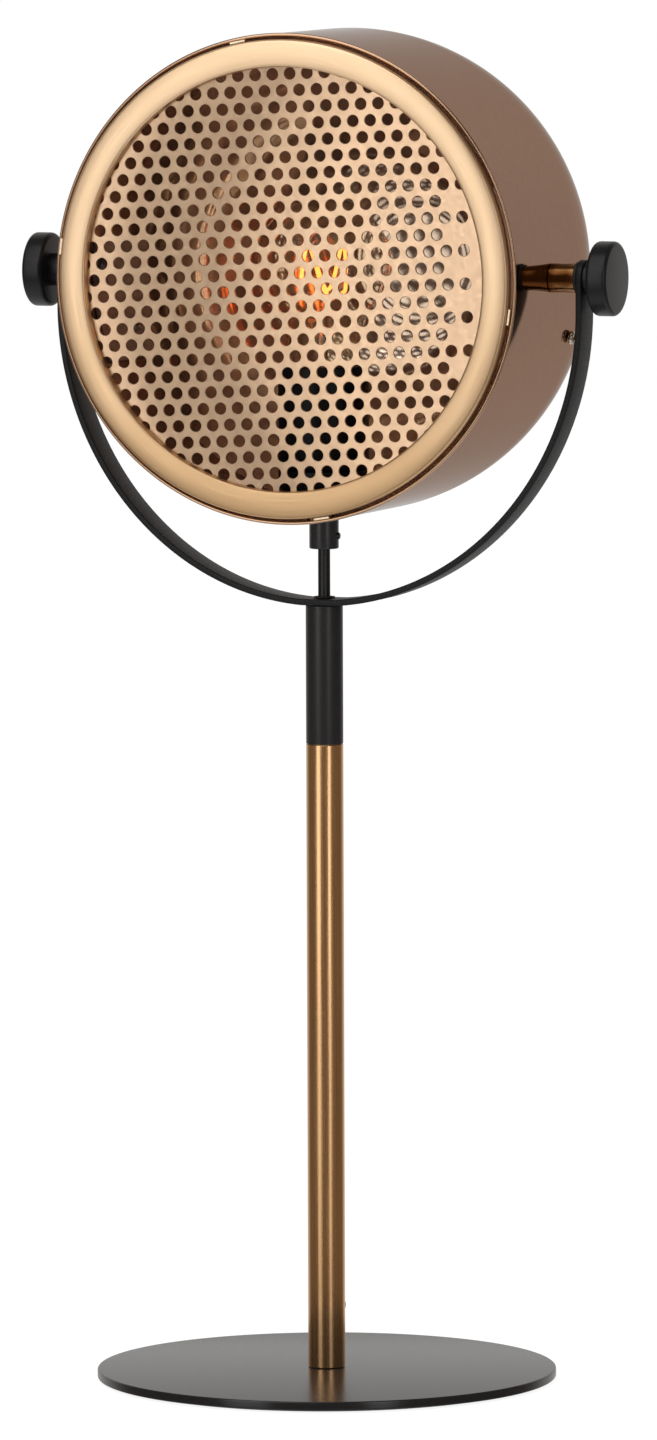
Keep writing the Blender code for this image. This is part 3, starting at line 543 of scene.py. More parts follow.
FELT = Finish(
    "pressed_felt",
    (0.045, 0.045, 0.05),
    0.95,
    PAINT,
    evenly(2600.0),
    tone_share=0.4,
    relief=0.0002,
    sheen=0.4,
)
BROWN_CORE = Finish("brown_core", (0.22, 0.09, 0.04), 0.45)
BLUE_CORE = Finish("blue_core", (0.04, 0.12, 0.40), 0.45)
GLASS = ClearGlass()
FILAMENT = Glow()


def arc(centre: tuple[float, float], radius: float, first: float, last: float, steps: int) -> np.ndarray:
    """Points on an arc: the centre plus radius times the cosine and sine of evenly spaced angles.

    Args:
        centre: The arc's centre as (radius, along).
        radius: The arc's radius.
        first: The first angle, in degrees, from the radius direction towards along.
        last: The last angle, in degrees.
        steps: How many chords the arc has.

    Returns:
        An array of (steps + 1, 2) points.
    """
    angle = np.radians(np.linspace(first, last, steps + 1))
    return np.array(centre) + radius * np.column_stack([np.cos(angle), np.sin(angle)])


def rounded(
    corners: Sequence[Sequence[float]],
    radius: float,
    closed: bool = True,
    steps: int = 4,
    side_share: float = 0.48,
    least_angle: float = 1e-3,
) -> np.ndarray:
    """An outline whose corners are arcs that touch both of their sides.

    At each corner the arc's centre lies on the bisector, at radius over the sine of the half angle,
    and the radius shrinks where a side is too short for it. The arc's points swing evenly from one
    touching point to the other.

    Args:
        corners: The outline's corners as (radius, along).
        radius: The largest radius of a corner.
        closed: Whether the last corner joins the first. The ends of an open chain stay sharp.
        steps: How many chords each arc has.
        side_share: The most that an arc takes of a side.
        least_angle: The half angle that a very sharp corner counts as.

    Returns:
        An array of (points, 2).
    """
    corner = np.array(corners, float)
    before = np.roll(corner, 1, 0) - corner
    after = np.roll(corner, -1, 0) - corner
    if not closed:
        before[0] = -after[0]
        after[-1] = -before[-1]
    side_before = np.linalg.norm(before, axis=1, keepdims=True)
    side_after = np.linalg.norm(after, axis=1, keepdims=True)
    to_before = before / side_before
    to_after = after / side_after
    cosine = np.clip((to_before * to_after).sum(1, keepdims=True), -1, 1)
    half = np.arccos(cosine) / 2
    room = side_share * np.minimum(side_before, side_after)
    reach = np.minimum(radius / np.tan(np.maximum(half, least_angle)), room)
    size = reach * np.tan(half)
    bisector = to_before + to_after
    length = np.linalg.norm(bisector, axis=1, keepdims=True)
    straight = length < MERGE_DISTANCE
    offset = bisector / np.maximum(length, TINY) * size / np.maximum(np.sin(half), TINY)
    middle = corner + np.where(straight, 0, offset)
    start = corner + to_before * reach - middle
    end = corner + to_after * reach - middle
    share = np.linspace(0, 1, steps + 1)[None, :, None]
    turn = (np.pi - 2 * half)[:, :, None]
    swing = np.sin((1 - share) * turn) * start[:, None] + np.sin(share * turn) * end[:, None]
    arcs = middle[:, None] + swing / np.maximum(np.sin(turn), TINY)
    sharp = straight[:, 0].copy()
    if not closed:
        sharp[[0, -1]] = True
    return np.concatenate([corner[[i]] if sharp[i] else arcs[i] for i in range(len(corner))])


def around(profile: np.ndarray, segments: int) -> np.ndarray:
    """A profile turned about Z: each point is (radius cos t, radius sin t, along).

    Args:
        profile: An array of (rows, 2) points as (radius, along).
        segments: How many places round the axis.

    Returns:
        An array of (rows, segments, 3) points.
    """
    angle = np.arange(segments) * 2 * np.pi / segments
    radius = profile[:, :1]
    along = np.repeat(profile[:, 1:], segments, 1)
    return np.stack([radius * np.cos(angle), radius * np.sin(angle), along], -1)


def grid_mesh(name: str, points: np.ndarray, closed_rows: bool = False) -> bpy.types.Mesh:
    """A mesh of four-sided faces between neighbouring points of a grid, with a UV map in metres.

    The UV map's first number runs along the columns and its second along the rows. The last column
    joins the first. Points that coincide, as at a pole, are merged, and faces are turned outwards.

    Args:
        name: The mesh's name.
        points: An array of (rows, columns, 3) points.
        closed_rows: Whether the last row joins the first.

    Returns:
        The mesh.
    """
    rows, columns = points.shape[:2]
    row = np.arange(rows if closed_rows else rows - 1)[:, None]
    column = np.arange(columns)[None, :]
    corner_rows = np.stack(np.broadcast_arrays(row, row, row + 1, row + 1), -1)
    corner_columns = np.stack(np.broadcast_arrays(column, column + 1, column + 1, column), -1)
    corner_rows, corner_columns = np.broadcast_arrays(corner_rows, corner_columns)
    quads = (corner_rows % rows) * columns + corner_columns % columns
    row_steps = np.linalg.norm(np.diff(points, axis=0, append=points[:1]), axis=2).max(1)
    column_steps = np.linalg.norm(np.diff(points, axis=1, append=points[:, :1]), axis=2).max(0)
    row_length = np.concatenate([[0], np.cumsum(row_steps)])
    column_length = np.concatenate([[0], np.cumsum(column_steps)])
    uv = np.stack([column_length[corner_columns], row_length[corner_rows]], -1)
    return joined_mesh(name, points.reshape(-1, 3), quads.reshape(-1, 4), uv.reshape(-1, 2))


def joined_mesh(
    name: str, points: np.ndarray, quads: np.ndarray, uv: np.ndarray | None = None
) -> bpy.types.Mesh:
    """A mesh from points and four-sided faces, with doubles merged and normals pointing out.

    Args:
        name: The mesh's name.
        points: An array of (count, 3).
        quads: An array of (faces, 4): the places of each face's corners among the points.
        uv: An array of (4 faces, 2) for its UV map, if it has one.

    Returns:
        The mesh.
    """
    mesh = bpy.data.meshes.new(name)
    mesh.vertices.add(len(points))
    mesh.vertices.foreach_set("co", points.astype(np.float32).ravel())
    mesh.loops.add(quads.size)
    mesh.loops.foreach_set("vertex_index", quads.astype(np.int32).ravel())
    mesh.polygons.add(len(quads))
    mesh.polygons.foreach_set("loop_start", np.arange(0, quads.size, 4, dtype=np.int32))
    mesh.update(calc_edges=True)
    if uv is not None:
        mesh.uv_layers.new(name="along").data.foreach_set("uv", uv.astype(np.float32).ravel())
    shape = bmesh.new()
    shape.from_mesh(mesh)
    bmesh.ops.remove_doubles(shape, verts=shape.verts, dist=MERGE_DISTANCE)
    bmesh.ops.recalc_face_normals(shape, faces=shape.faces)
    shape.to_mesh(mesh)
    shape.free()
    mesh.validate()
    return mesh


def shown(name: str, data: bpy.types.ID) -> bpy.types.Object:
    """Puts a new object into the scene.

    Args:
        name: Its name.
        data: The mesh, light or camera that it shows.

    Returns:
        The object.
    """
    made = bpy.data.objects.new(name, data)
    bpy.context.scene.collection.objects.link(made)
    return made


def piece(
    node: str, mesh: bpy.types.Mesh, finish: Surface, rides: bool = True
) -> bpy.types.Object:
    """An object in the scene that shows this mesh and stands for a node of the frame.

    Args:
        node: The node that it stands for.
        mesh: Its mesh, already in place.
        finish: What it is made of.
        rides: Whether it moves with the node's own body.

    Returns:
        The object.
    """
    made = shown(f"{node}_skin", mesh)
    mesh.materials.append(finish.material())
    mesh.shade_smooth()
    mesh.set_sharp_from_angle(angle=SMOOTH_ANGLE)
    if rides:
        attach(made, frame["nodes"][node]["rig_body"])
    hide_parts(node)
    LOG.info("%s: %d faces", made.name, len(mesh.polygons))
    return made


def turned(
    node: str, profile: np.ndarray, finish: Surface, place: Place = Place(), segments: int = LARGE
) -> bpy.types.Object:
    """A piece turned from a profile.

    A profile whose ends lie on the axis is a chain, and any other is closed.

    Args:
        node: The node that it stands for.
        profile: An array of (rows, 2) points as (radius, along).
        finish: What it is made of.
        place: Where it goes.
        segments: How many places round the axis.

    Returns:
        The piece.
    """
    mesh = grid_mesh(f"{node}_skin", place.put(around(profile, segments)), closed_rows=profile[0, 0] > 0)
    return piece(node, mesh, finish)


def capped(rings: np.ndarray, first: np.ndarray, last: np.ndarray) -> np.ndarray:
    """A grid closed by a row of one repeated point at each end."""
    columns = rings.shape[1]
    return np.concatenate([np.tile(first, (1, columns, 1)), rings, np.tile(last, (1, columns, 1))])


def along_path(path: np.ndarray, reference: np.ndarray, radius: float, segments: int) -> np.ndarray:
    """A round tube's grid: rings about a path, closed by a point at each end.

    Each ring lies in the plane square to the path, and its first axis is square to the reference.

    Args:
        path: An array of (points, 3).
        reference: One direction per point, never along the path.
        radius: The tube's radius.
        segments: How many places round the tube.

    Returns:
        An array of (points + 2, segments, 3).
    """
    along = np.gradient(path, axis=0)
    along /= np.linalg.norm(along, axis=1, keepdims=True)
    side = np.cross(along, reference)
    side /= np.linalg.norm(side, axis=1, keepdims=True)
    up = np.cross(side, along)
    angle = (np.arange(segments) * 2 * np.pi / segments)[None, :, None]
    ring = np.cos(angle) * side[:, None] + np.sin(angle) * up[:, None]
    return capped(path[:, None] + radius * ring, path[0], path[-1])


def strip_grid(outer: np.ndarray, inner: np.ndarray, across: np.ndarray, edge_share: float) -> np.ndarray:
    """A bent strip's grid: a rounded rectangle carried along a path, closed at both ends.

    The section runs from the inner to the outer face along its first side, and by across to each
    side of the path. Its corners are rounded by edge_share of the half thickness.

    Args:
        outer: An array of (stations, 3) points on the middle of the outer face.
        inner: The same for the inner face.
        across: An array of (stations, 3): half of the strip's width, as a vector.
        edge_share: The corner's size as a share of the half thickness.

    Returns:
        An array of (stations + 2, section points, 3).
    """
    middle = (outer + inner) / 2
    half = (outer - inner) / 2
    thickness = np.linalg.norm(half, axis=1).max()
    width = np.linalg.norm(across, axis=1).max()
    corners = [(-thickness, -width), (thickness, -width), (thickness, width), (-thickness, width)]
    section = rounded(corners, edge_share * thickness) / [thickness, width]
    rings = middle[:, None] + section[None, :, :1] * half[:, None] + section[None, :, 1:] * across[:, None]
    return capped(rings, middle[0], middle[-1])


def bore(target: bpy.types.Object, cutter_mesh: bpy.types.Mesh) -> None:
    """Cuts a closed mesh out of a piece, and leaves the result as the piece's plain mesh.

    Args:
        target: The piece.
        cutter_mesh: The mesh to cut with, already in place.
    """
    cutter = shown("cutter", cutter_mesh)
    step = target.modifiers.new("cut", "BOOLEAN")
    step.operation = "DIFFERENCE"
    step.solver = "EXACT"
    step.object = cutter
    graph = bpy.context.evaluated_depsgraph_get()
    cut = bpy.data.meshes.new_from_object(target.evaluated_get(graph))
    target.modifiers.clear()
    target.data = cut
    cut.set_sharp_from_angle(angle=SMOOTH_ANGLE)
    bpy.data.objects.remove(cutter)


def rod_mesh(radius: float, start: float, end: float, place: Place, segments: int = SMALL) -> bpy.types.Mesh:
    """A plain closed rod along its place's own Z, to cut with."""
    profile = np.array(Extent(radius, start, end).section())
    return grid_mesh("rod", place.put(around(profile, segments)))


def round_piece(
    node: str,
    size: Extent,
    soften: float,
    finish: Surface,
    slot: str,
    hole: float = 0.0,
    place: Place = Place(),
    segments: int = LARGE,
    steps: int = 4,
) -> None:
    """A plain disc with softened corners or, where it has a hole, a ring.

    Args:
        node: The node that it stands for.
        size: Its radius and its ends along its axis.
        soften: The radius of its corners.
        finish: What it is made of.
        slot: Not used.
        hole: The hole's radius.
        place: Where it goes.
        segments: How many places round the axis.
        steps: How many chords each corner has.
    """
    profile = rounded(size.section(hole), soften, closed=hole > 0, steps=steps)
    turned(node, profile, finish, place, segments)


def node_middle(node: str, axis: int) -> float:
    """Where the middle of a node's box is along X, Y or Z."""
    low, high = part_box(node)
    return (low[axis] + high[axis]) / 2


@dataclass(frozen=True)
class Base:
    """The round plate with its felt pad."""

    edge_round: float = 0.0007
    edge_steps: int = 5
    felt_round: float = 0.0002
    segments: int = 240

    def build(self) -> None:
        """Makes the plate and the pad."""
        plate, pad = Extent.of("base_plate", Z), Extent.of("base_pad", Z)
        edge = {"segments": self.segments, "steps": self.edge_steps}
        round_piece("base_plate", plate, self.edge_round, BLACK_PLATE, "black_satin", **edge)
        round_piece("base_pad", pad, self.felt_round, FELT, "felt", segments=self.segments)


@dataclass(frozen=True)
class Pole:
    """The copper tube, the black sleeve above it and the grommet at the flex's outlet."""

    wall: float = 0.0008
    end_round: float = 0.00025
    grommet_bore: float = 0.003
    grommet_round: float = 0.0006

    def build(self) -> None:
        """Makes the tube, the sleeve and the grommet, which sits in the back of the tube."""
        tubes = (("pole_tube", SATIN_COPPER, "satin_copper"), ("pole_sleeve", BLACK_SATIN, "black_satin"))
        for node, finish, slot in tubes:
            size = Extent.of(node, Z)
            round_piece(node, size, self.end_round, finish, slot, size.radius - self.wall)
        node = "outlet_grommet"
        place = Place((0, 0, node_middle(node, Z)), Axis.Y.value)
        hole = self.grommet_bore
        round_piece(node, Extent.of(node, Y), self.grommet_round, RUBBER, "rubber", hole, place, SMALL)


@dataclass(frozen=True)
class Yoke:
    """The bent strip that carries the shade.

    Its outer and inner faces are half ellipses below short straight arms with round ends.
    """

    straight: float = 0.0144
    edge_share: float = 0.45
    arc_stations: int = 150
    end_stations: int = 14
    tip_share: float = 0.02
    bolt_hole: float = 0.0033
    bush_flange: float = 0.0008
    bush_round: float = 0.0003

    def build(self) -> None:
        """Makes the strip with its holes, and the bush round the flex."""
        low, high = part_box("yoke")
        inner_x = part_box("pivot_washer_right")[1].x + GAP
        thickness = high.x - inner_x
        half_width = (high.y - low.y) / 2
        centre = PIVOT.z - self.straight
        flat = math.asin(Extent.of("pole_sleeve", Z).radius / high.x)
        angle = np.linspace(flat, np.pi / 2, self.arc_stations)
        climb = np.radians(np.linspace(0, 90, self.end_stations))
        top = PIVOT.z + half_width * np.sin(climb)
        width = half_width * np.concatenate([np.ones(len(angle)), np.maximum(np.cos(climb), self.tip_share)])
        zero = np.zeros_like(width)
        right = []
        for x, inset in ((high.x, 0), (inner_x, thickness)):
            depth = (centre - low.z - inset) / math.cos(flat)
            arm_x = np.concatenate([x * np.sin(angle), np.full(len(climb), x)])
            arm_z = np.concatenate([centre - depth * np.cos(angle), top])
            right.append(np.column_stack([arm_x, zero, arm_z]))
        right.append(np.column_stack([zero, width, zero]))
        outer, inner, across = (np.concatenate([side[::-1] * [-1, 1, 1], side]) for side in right)
        mesh = grid_mesh("yoke_skin", strip_grid(outer, inner, across, self.edge_share))
        strip = piece("yoke", mesh, BLACK_STRIP)
        reach = high.x + thickness
        bore(strip, rod_mesh(self.bolt_hole, -reach, reach, Place((0, 0, PIVOT.z), Axis.X.value)))
        bush = Extent.of("yoke_bush", Z)
        hole = bush.radius - self.bush_flange
        bore(strip, rod_mesh(hole, low.z - thickness, low.z + 2 * thickness, Place()))
        bore_radius = Extent.of("head_flex", Z).radius + GAP
        seat = low.z + thickness + GAP
        corners = [
            (bore_radius, bush.start),
            (hole - GAP, bush.start),
            (hole - GAP, seat),
            (bush.radius, seat),
            (bush.radius, bush.end),
            (bore_radius, bush.end),
        ]
        turned("yoke_bush", rounded(corners, self.bush_round), RUBBER, segments=MEDIUM)


@dataclass(frozen=True)
class Flex:
    """The flex from the lampholder down through the pole to its outlet.

    It runs straight down, leans to the front near the foot and bends to the back in a quarter circle.
    """

    lean: float = 0.0044
    lean_length: float = 0.040
    lean_points: int = 20
    bend: float = 0.0118
    bend_points: int = 16
    spacing: float = 0.002
    segments: int = 24

    def build(self) -> None:
        """Makes the flex, which rides on no body."""
        low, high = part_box("head_flex")
        outlet = node_middle("outlet_grommet", Z)
        bend_top = outlet + self.bend
        lean_top = bend_top + self.lean_length
        drop = np.arange(high.z, lean_top, -self.spacing)
        share = np.linspace(0, 1, self.lean_points)
        ease = share * share * (3 - 2 * share)
        angle = np.radians(np.linspace(90 / self.bend_points, 90, self.bend_points))
        back = self.bend * (1 - np.cos(angle)) - self.lean
        straight = np.column_stack([np.zeros_like(drop), drop])
        leaning = np.column_stack([-self.lean * ease, lean_top - self.lean_length * share])
        bent = np.column_stack([back, bend_top - self.bend * np.sin(angle)])
        flat = np.concatenate([straight, leaning, bent, [[high.y, outlet]]])
        path = np.column_stack([np.zeros(len(flat)), flat])
        sideways = np.tile([1.0, 0.0, 0.0], (len(path), 1))
        grid = along_path(path, sideways, (high.x - low.x) / 2, self.segments)
        made = piece("head_flex", grid_mesh("head_flex_skin", grid), SHEATH, rides=False)
        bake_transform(made)


@dataclass(frozen=True)
class PanScrew:
    """A pan-head screw with a cross recess."""

    shank: float = 0.0015
    head: float = 0.003
    height: float = 0.0022
    depth: float = 0.0046
    crown_share: float = 0.45
    crown_steps: int = 6
    recess_share: float = 0.62
    recess_width_share: float = 0.26
    recess_depth_share: float = 0.7

    def build(self, node: str, place: Place, surface: float) -> None:
        """Makes the screw of one node.

        Args:
            node: The node that it stands for.
            place: Where it goes, with its own Z out of the head.
            surface: Where the surface that it is screwed into is, along Z.
        """
        seat, end = surface + GAP, surface - self.depth
        top = seat + self.height
        shank = [(0, end), (self.shank, end), (self.shank, seat)]
        head = [(self.head, seat), (self.head, top), (0, top)]
        profile = rounded(shank + head, self.crown_share * self.height, closed=False, steps=self.crown_steps)
        made = turned(node, profile, DARK_STEEL, place, SMALL)
        reach = self.head * self.recess_share
        width = self.head * self.recess_width_share
        arm = np.array([(reach, -width), (reach, width), (width, width)])
        quarter_turn = np.array([(0, 1), (-1, 0)])
        cross = np.concatenate([arm @ np.linalg.matrix_power(quarter_turn, count) for count in range(4)])
        floor = top - self.height * self.recess_depth_share
        above = top + self.height
        rows = [
            np.column_stack([cross * share, np.full(len(cross), level)])
            for share, level in ((0, floor), (1, floor), (1, above), (0, above))
        ]
        bore(made, grid_mesh("cross", place.put(np.stack(rows))))


@dataclass(frozen=True)
class Drum:
    """The shade: a straight wall with a rolled front rim, which runs on into a domed back."""

    wall: float = 0.0008
    dome_flat: float = 0.0187
    dome_steps: int = 48
    bead: float = 0.00075
    bead_inset: float = 0.00035
    bead_start: float = 60.0
    bead_sweep: float = 300.0
    bead_steps: int = 18
    segments: int = 288
    screw_angles: tuple[tuple[str, float], ...] = (("right", -15.0), ("left", 195.0))
    screw_hole: float = 0.0018
    bolt_hole: float = 0.0033
    nipple_hole: float = 0.0053

    def build(self) -> None:
        """Makes the drum and the two screws in its sides."""
        size = Extent.of("shade_drum", Y)
        dome = size.radius - self.dome_flat
        centre = (self.dome_flat, size.end - dome)
        bead_centre = (size.radius - self.bead_inset, size.start + self.bead)
        wall_start = bead_centre[1] + self.bead * math.sin(math.radians(self.bead_start))
        bead_end = self.bead_start - self.bead_sweep
        profile = np.concatenate(
            [
                [(0, size.end)],
                arc(centre, dome, 90, 0, self.dome_steps),
                arc(bead_centre, self.bead, self.bead_start, bead_end, self.bead_steps),
                [(size.radius - self.wall, wall_start)],
                arc(centre, dome - self.wall, 0, 90, self.dome_steps),
                [(0, size.end - self.wall)],
            ]
        )
        drum = turned("shade_drum", profile, COPPER_LACQUER, DRUM_AXIS, self.segments)
        self.cut_holes(drum, size.radius)
        self.line_inside(drum.data, size, wall_start)
        for side, angle in self.screw_angles:
            PanScrew().build(f"plate_screw_{side}", self.screw_place(side, angle), size.radius)

    def screw_place(self, side: str, angle: float) -> Place:
        """Where the screw on this side goes."""
        return Place.outward(math.radians(angle), node_middle(f"plate_screw_{side}", Y) - PIVOT.y)

    def cut_holes(self, drum: bpy.types.Object, radius: float) -> None:
        """Cuts the holes for the pivots, the nipple and the screws.

        Args:
            drum: The drum.
            radius: Its outer radius.
        """
        outside = radius + self.bead
        inside = radius - 3 * self.wall
        centre = tuple(PIVOT)
        for axis in (Axis.X, Axis.MINUS_X):
            bore(drum, rod_mesh(self.bolt_hole, inside, outside, Place(centre, axis.value)))
        bore(drum, rod_mesh(self.nipple_hole, -outside, -inside, Place(centre)))
        for side, angle in self.screw_angles:
            bore(drum, rod_mesh(self.screw_hole, inside, outside, self.screw_place(side, angle)))

    def line_inside(self, mesh: bpy.types.Mesh, size: Extent, rim_end: float) -> None:
        """Gives the faces inside the shade and those of its rim their own finishes; the straight wall inside
        gets a darker copper as painted shade.

        A face is inside where it lies deeper under the outer skin than half the wall. Under the
        dome, that depth is the dome's radius less the distance from the rounding's centre line.

        Args:
            mesh: The drum's mesh.
            size: The drum's extent along its axis.
            rim_end: Where the rim's bead ends, along Y.
        """
        for finish in (SHADED_WALL_COPPER, DOME_COPPER, BEAD_COPPER):
            mesh.materials.append(finish.material())
        # the straight wall inside (slot wall) gets painted shade: a darker copper than the dome's lining
        outside, wall, lining, rim = range(4)
        centres = np.empty(3 * len(mesh.polygons))
        mesh.polygons.foreach_get("center", centres)
        x, y, z = centres.reshape(-1, 3).T
        out = np.hypot(x - PIVOT.x, z - PIVOT.z)
        dome = size.radius - self.dome_flat
        behind = y - (size.end - dome)
        under_dome = dome - np.hypot(np.maximum(out - self.dome_flat, 0), np.maximum(behind, 0))
        depth = np.where(behind > 0, under_dome, size.radius - out)
        inside = np.where(behind > 0, lining, wall)
        slot = np.where(y < rim_end, rim, np.where(depth > self.wall / 2, inside, outside))
        mesh.polygons.foreach_set("material_index", slot.astype(np.int32))


@dataclass(frozen=True)
class Grille:
    """The perforated sheet.

    Its holes lie on a lattice of staggered rows. Round each one the sheet is divided into a
    six-sided cell, whose corners are the points as far from three neighbouring holes. Cells
    beyond the field of holes are plain, and the outermost ones reach to the sheet's edge.
    """

    turn: float = math.radians(2.89)
    pitch: float = 0.00805
    row_pitch: float = 0.007225
    row_shift: float = 0.00254
    column_shift: float = -0.00088
    hole: float = 0.0026
    edge: float = 0.0002
    field_radius: float = 0.0949
    long_row_last: int = 10
    short_row_last: int = 9
    side_steps: int = 3

    def cell_outline(self) -> np.ndarray:
        """The corners of a cell about (0, 0), with side_steps points on each of its six sides."""
        half = self.pitch / 2
        rise = self.pitch**2 / (8 * self.row_pitch)
        low, high = self.row_pitch / 2 - rise, self.row_pitch / 2 + rise
        corner = np.array([(half, -low), (half, low), (0, high), (-half, low), (-half, -low), (0, -high)])
        share = np.arange(self.side_steps)[None, :, None] / self.side_steps
        sides = corner[:, None] * (1 - share) + np.roll(corner, -1, 0)[:, None] * share
        return sides.reshape(-1, 2)

    def centres(self, radius: float) -> tuple[np.ndarray, np.ndarray]:
        """The cells' centres inside a circle, and whether each has a hole.

        Args:
            radius: The circle's radius.

        Returns:
            The centres as (cells, 2) before the pattern is turned, and one truth value for each.
        """
        reach = math.ceil(radius / self.row_pitch) + 1
        row, column = np.mgrid[-reach : reach + 1, -reach : reach + 1]
        is_long = row % 2 == 1
        across = column * self.pitch + self.column_shift + np.where(is_long, self.pitch / 2, 0)
        up = row * self.row_pitch + self.row_shift
        distance = np.hypot(across, up)
        last = np.where(is_long, self.long_row_last, self.short_row_last)
        has_hole = (distance < self.field_radius) & (column <= last)
        kept = distance < radius
        return np.column_stack([across[kept], up[kept]]), has_hole[kept]

    def build(self) -> None:
        """Makes the sheet from its cells, those with holes first."""
        size = Extent.of("grille", Y)
        front, back = size.start, size.end
        outline = self.cell_outline()
        angle = np.arctan2(outline[:, 1], outline[:, 0])
        circle = np.column_stack([np.cos(angle), np.sin(angle)])
        centres, has_hole = self.centres(size.radius - self.pitch / 3)
        holed = [
            (outline, front),
            (circle * (self.hole + self.edge), front),
            (circle * self.hole, front + self.edge),
            (circle * self.hole, back),
            (outline, back),
        ]
        parts = [
            self.cells(centres[has_hole], holed),
            self.cells(centres[~has_hole], [(outline, front), (outline * 0, front)]),
            self.cells(centres[~has_hole], [(outline * 0, back), (outline, back)]),
        ]
        starts = np.cumsum([0] + [len(points) for points, _ in parts[:-1]])
        points = np.concatenate([points for points, _ in parts])
        quads = np.concatenate([quads + start for (_, quads), start in zip(parts, starts)])
        cosine, sine = math.cos(self.turn), math.sin(self.turn)
        turn = np.array([(cosine, 0, sine), (0, 1, 0), (-sine, 0, cosine)])
        mesh = joined_mesh("grille_skin", points @ turn + np.array([PIVOT.x, 0, PIVOT.z]), quads)
        self.close_edge(mesh, size.radius)
        piece("grille", mesh, GRILLE_GOLD)

    def cells(
        self, centres: np.ndarray, rings: list[tuple[np.ndarray, float]]
    ) -> tuple[np.ndarray, np.ndarray]:
        """The points and faces of the same rings round each centre.

        Args:
            centres: An array of (cells, 2).
            rings: For each ring its (points, 2) about the centre and its place along Y.

        Returns:
            The points as (count, 3) and the faces as (count, 4).
        """
        flat = np.stack([ring for ring, _ in rings])[None] + centres[:, None, None]
        level = np.broadcast_to(np.array([along for _, along in rings])[None, :, None], flat.shape[:3])
        points = np.stack([flat[..., 0], level, flat[..., 1]], -1)
        cells, rows, columns = flat.shape[:3]
        row = np.arange(rows - 1)[:, None] * columns
        column = np.arange(columns)[None, :]
        after = (column + 1) % columns
        quad = np.stack([row + column, row + after, row + columns + after, row + columns + column], -1)
        offset = (np.arange(cells) * rows * columns)[:, None, None]
        return points.reshape(-1, 3), (quad.reshape(-1, 4)[None] + offset).reshape(-1, 4)

    def close_edge(self, mesh: bpy.types.Mesh, radius: float) -> None:
        """Moves the sheet's ragged outline out to its round edge and joins front to back there.

        Args:
            mesh: The sheet's mesh.
            radius: The radius of its round edge.
        """
        shape = bmesh.new()
        shape.from_mesh(mesh)
        rim = [edge for edge in shape.edges if edge.is_boundary]
        axis = Vector((PIVOT.x, 0, PIVOT.z))
        for vertex in {vertex for edge in rim for vertex in edge.verts}:
            out = vertex.co - axis
            along = out.y
            out.y = 0
            vertex.co = axis + out.normalized() * radius + Vector((0, along, 0))
        bmesh.ops.bridge_loops(shape, edges=rim)
        bmesh.ops.recalc_face_normals(shape, faces=shape.faces)
        shape.to_mesh(mesh)
        shape.free()


@dataclass(frozen=True)
class Bezel:
    """The front ring, the perforated sheet behind it and the four clips."""

    width: float = 0.0121
    sheet: float = 0.0010
    rise: float = 0.0031
    crown: float = 0.17
    flatness: float = 24.0
    crest_points: int = 41
    segments: int = 288
    clip_sheet: float = 0.0008
    clip_width: float = 0.007
    clip_round: float = 0.0007
    clip_bend: float = 0.0003
    clip_reach: float = 0.0015
    clip_foot: float = 0.005
    clip_edge_share: float = 0.5
    clip_angles: tuple[float, ...] = (-8.0, 101.5, 173.0, 279.5)

    def build(self) -> None:
        """Makes the ring, the sheet and the clips."""
        self.ring()
        Grille().build()
        for number, angle in enumerate(self.clip_angles, 1):
            self.clip(f"bezel_clip_{number}", math.radians(angle))

    def ring(self) -> None:
        """A thin shell with a crowned section, a skirt outside and a lip inside.

        From the middle to each edge the section's height falls by crown times the square of the
        share across, and its edges drop by the root of one less that share to the power of flatness.
        """
        size = Extent.of("bezel_ring", Y)
        foot = size.start + self.rise
        lip_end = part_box("grille")[0].y - GAP
        middle = np.array([size.radius - self.width / 2, foot])
        across = np.cos(np.linspace(0, np.pi, self.crest_points))
        height = (1 - self.crown * across**2) * np.sqrt(1 - np.abs(across) ** self.flatness)
        crest, hollow = (
            middle + np.column_stack([(self.width / 2 - inset) * across, (inset - self.rise) * height])
            for inset in (0, self.sheet)
        )
        inside = size.radius - self.width
        profile = np.concatenate(
            [
                [(size.radius, size.end)],
                crest,
                [(inside, lip_end), (inside + self.sheet, lip_end)],
                hollow[::-1],
                [(size.radius - self.sheet, size.end)],
            ]
        )
        turned("bezel_ring", profile, PALE_GOLD, DRUM_AXIS, self.segments)

    def clip(self, node: str, angle: float) -> None:
        """A clip bent from sheet: a leaf in the gap round the ring and a foot behind the sheet.

        Args:
            node: The node that it stands for.
            angle: Where it sits round the drum's axis, in radians.
        """
        grille = Extent.of("grille", Y)
        leaf = Extent.of("bezel_ring", Y).radius + GAP
        front = Extent.of("shade_drum", Y).start - self.clip_reach
        foot = grille.end + GAP
        tip = grille.radius - self.clip_foot
        lines = []
        for inset, soften in ((self.clip_sheet, self.clip_round), (0, self.clip_bend)):
            corners = [(leaf + inset, front), (leaf + inset, foot + inset), (tip, foot + inset)]
            line = rounded(corners, soften, closed=False)
            lines.append(np.column_stack([np.zeros(len(line)), line[:, 1], line[:, 0]]))
        across = np.tile([self.clip_width / 2, 0.0, 0.0], (len(lines[0]), 1))
        grid = strip_grid(*lines, across, self.clip_edge_share)
        mesh = grid_mesh(f"{node}_skin", Place.outward(angle, 0).put(grid))
        piece(node, mesh, CLIP_GOLD)


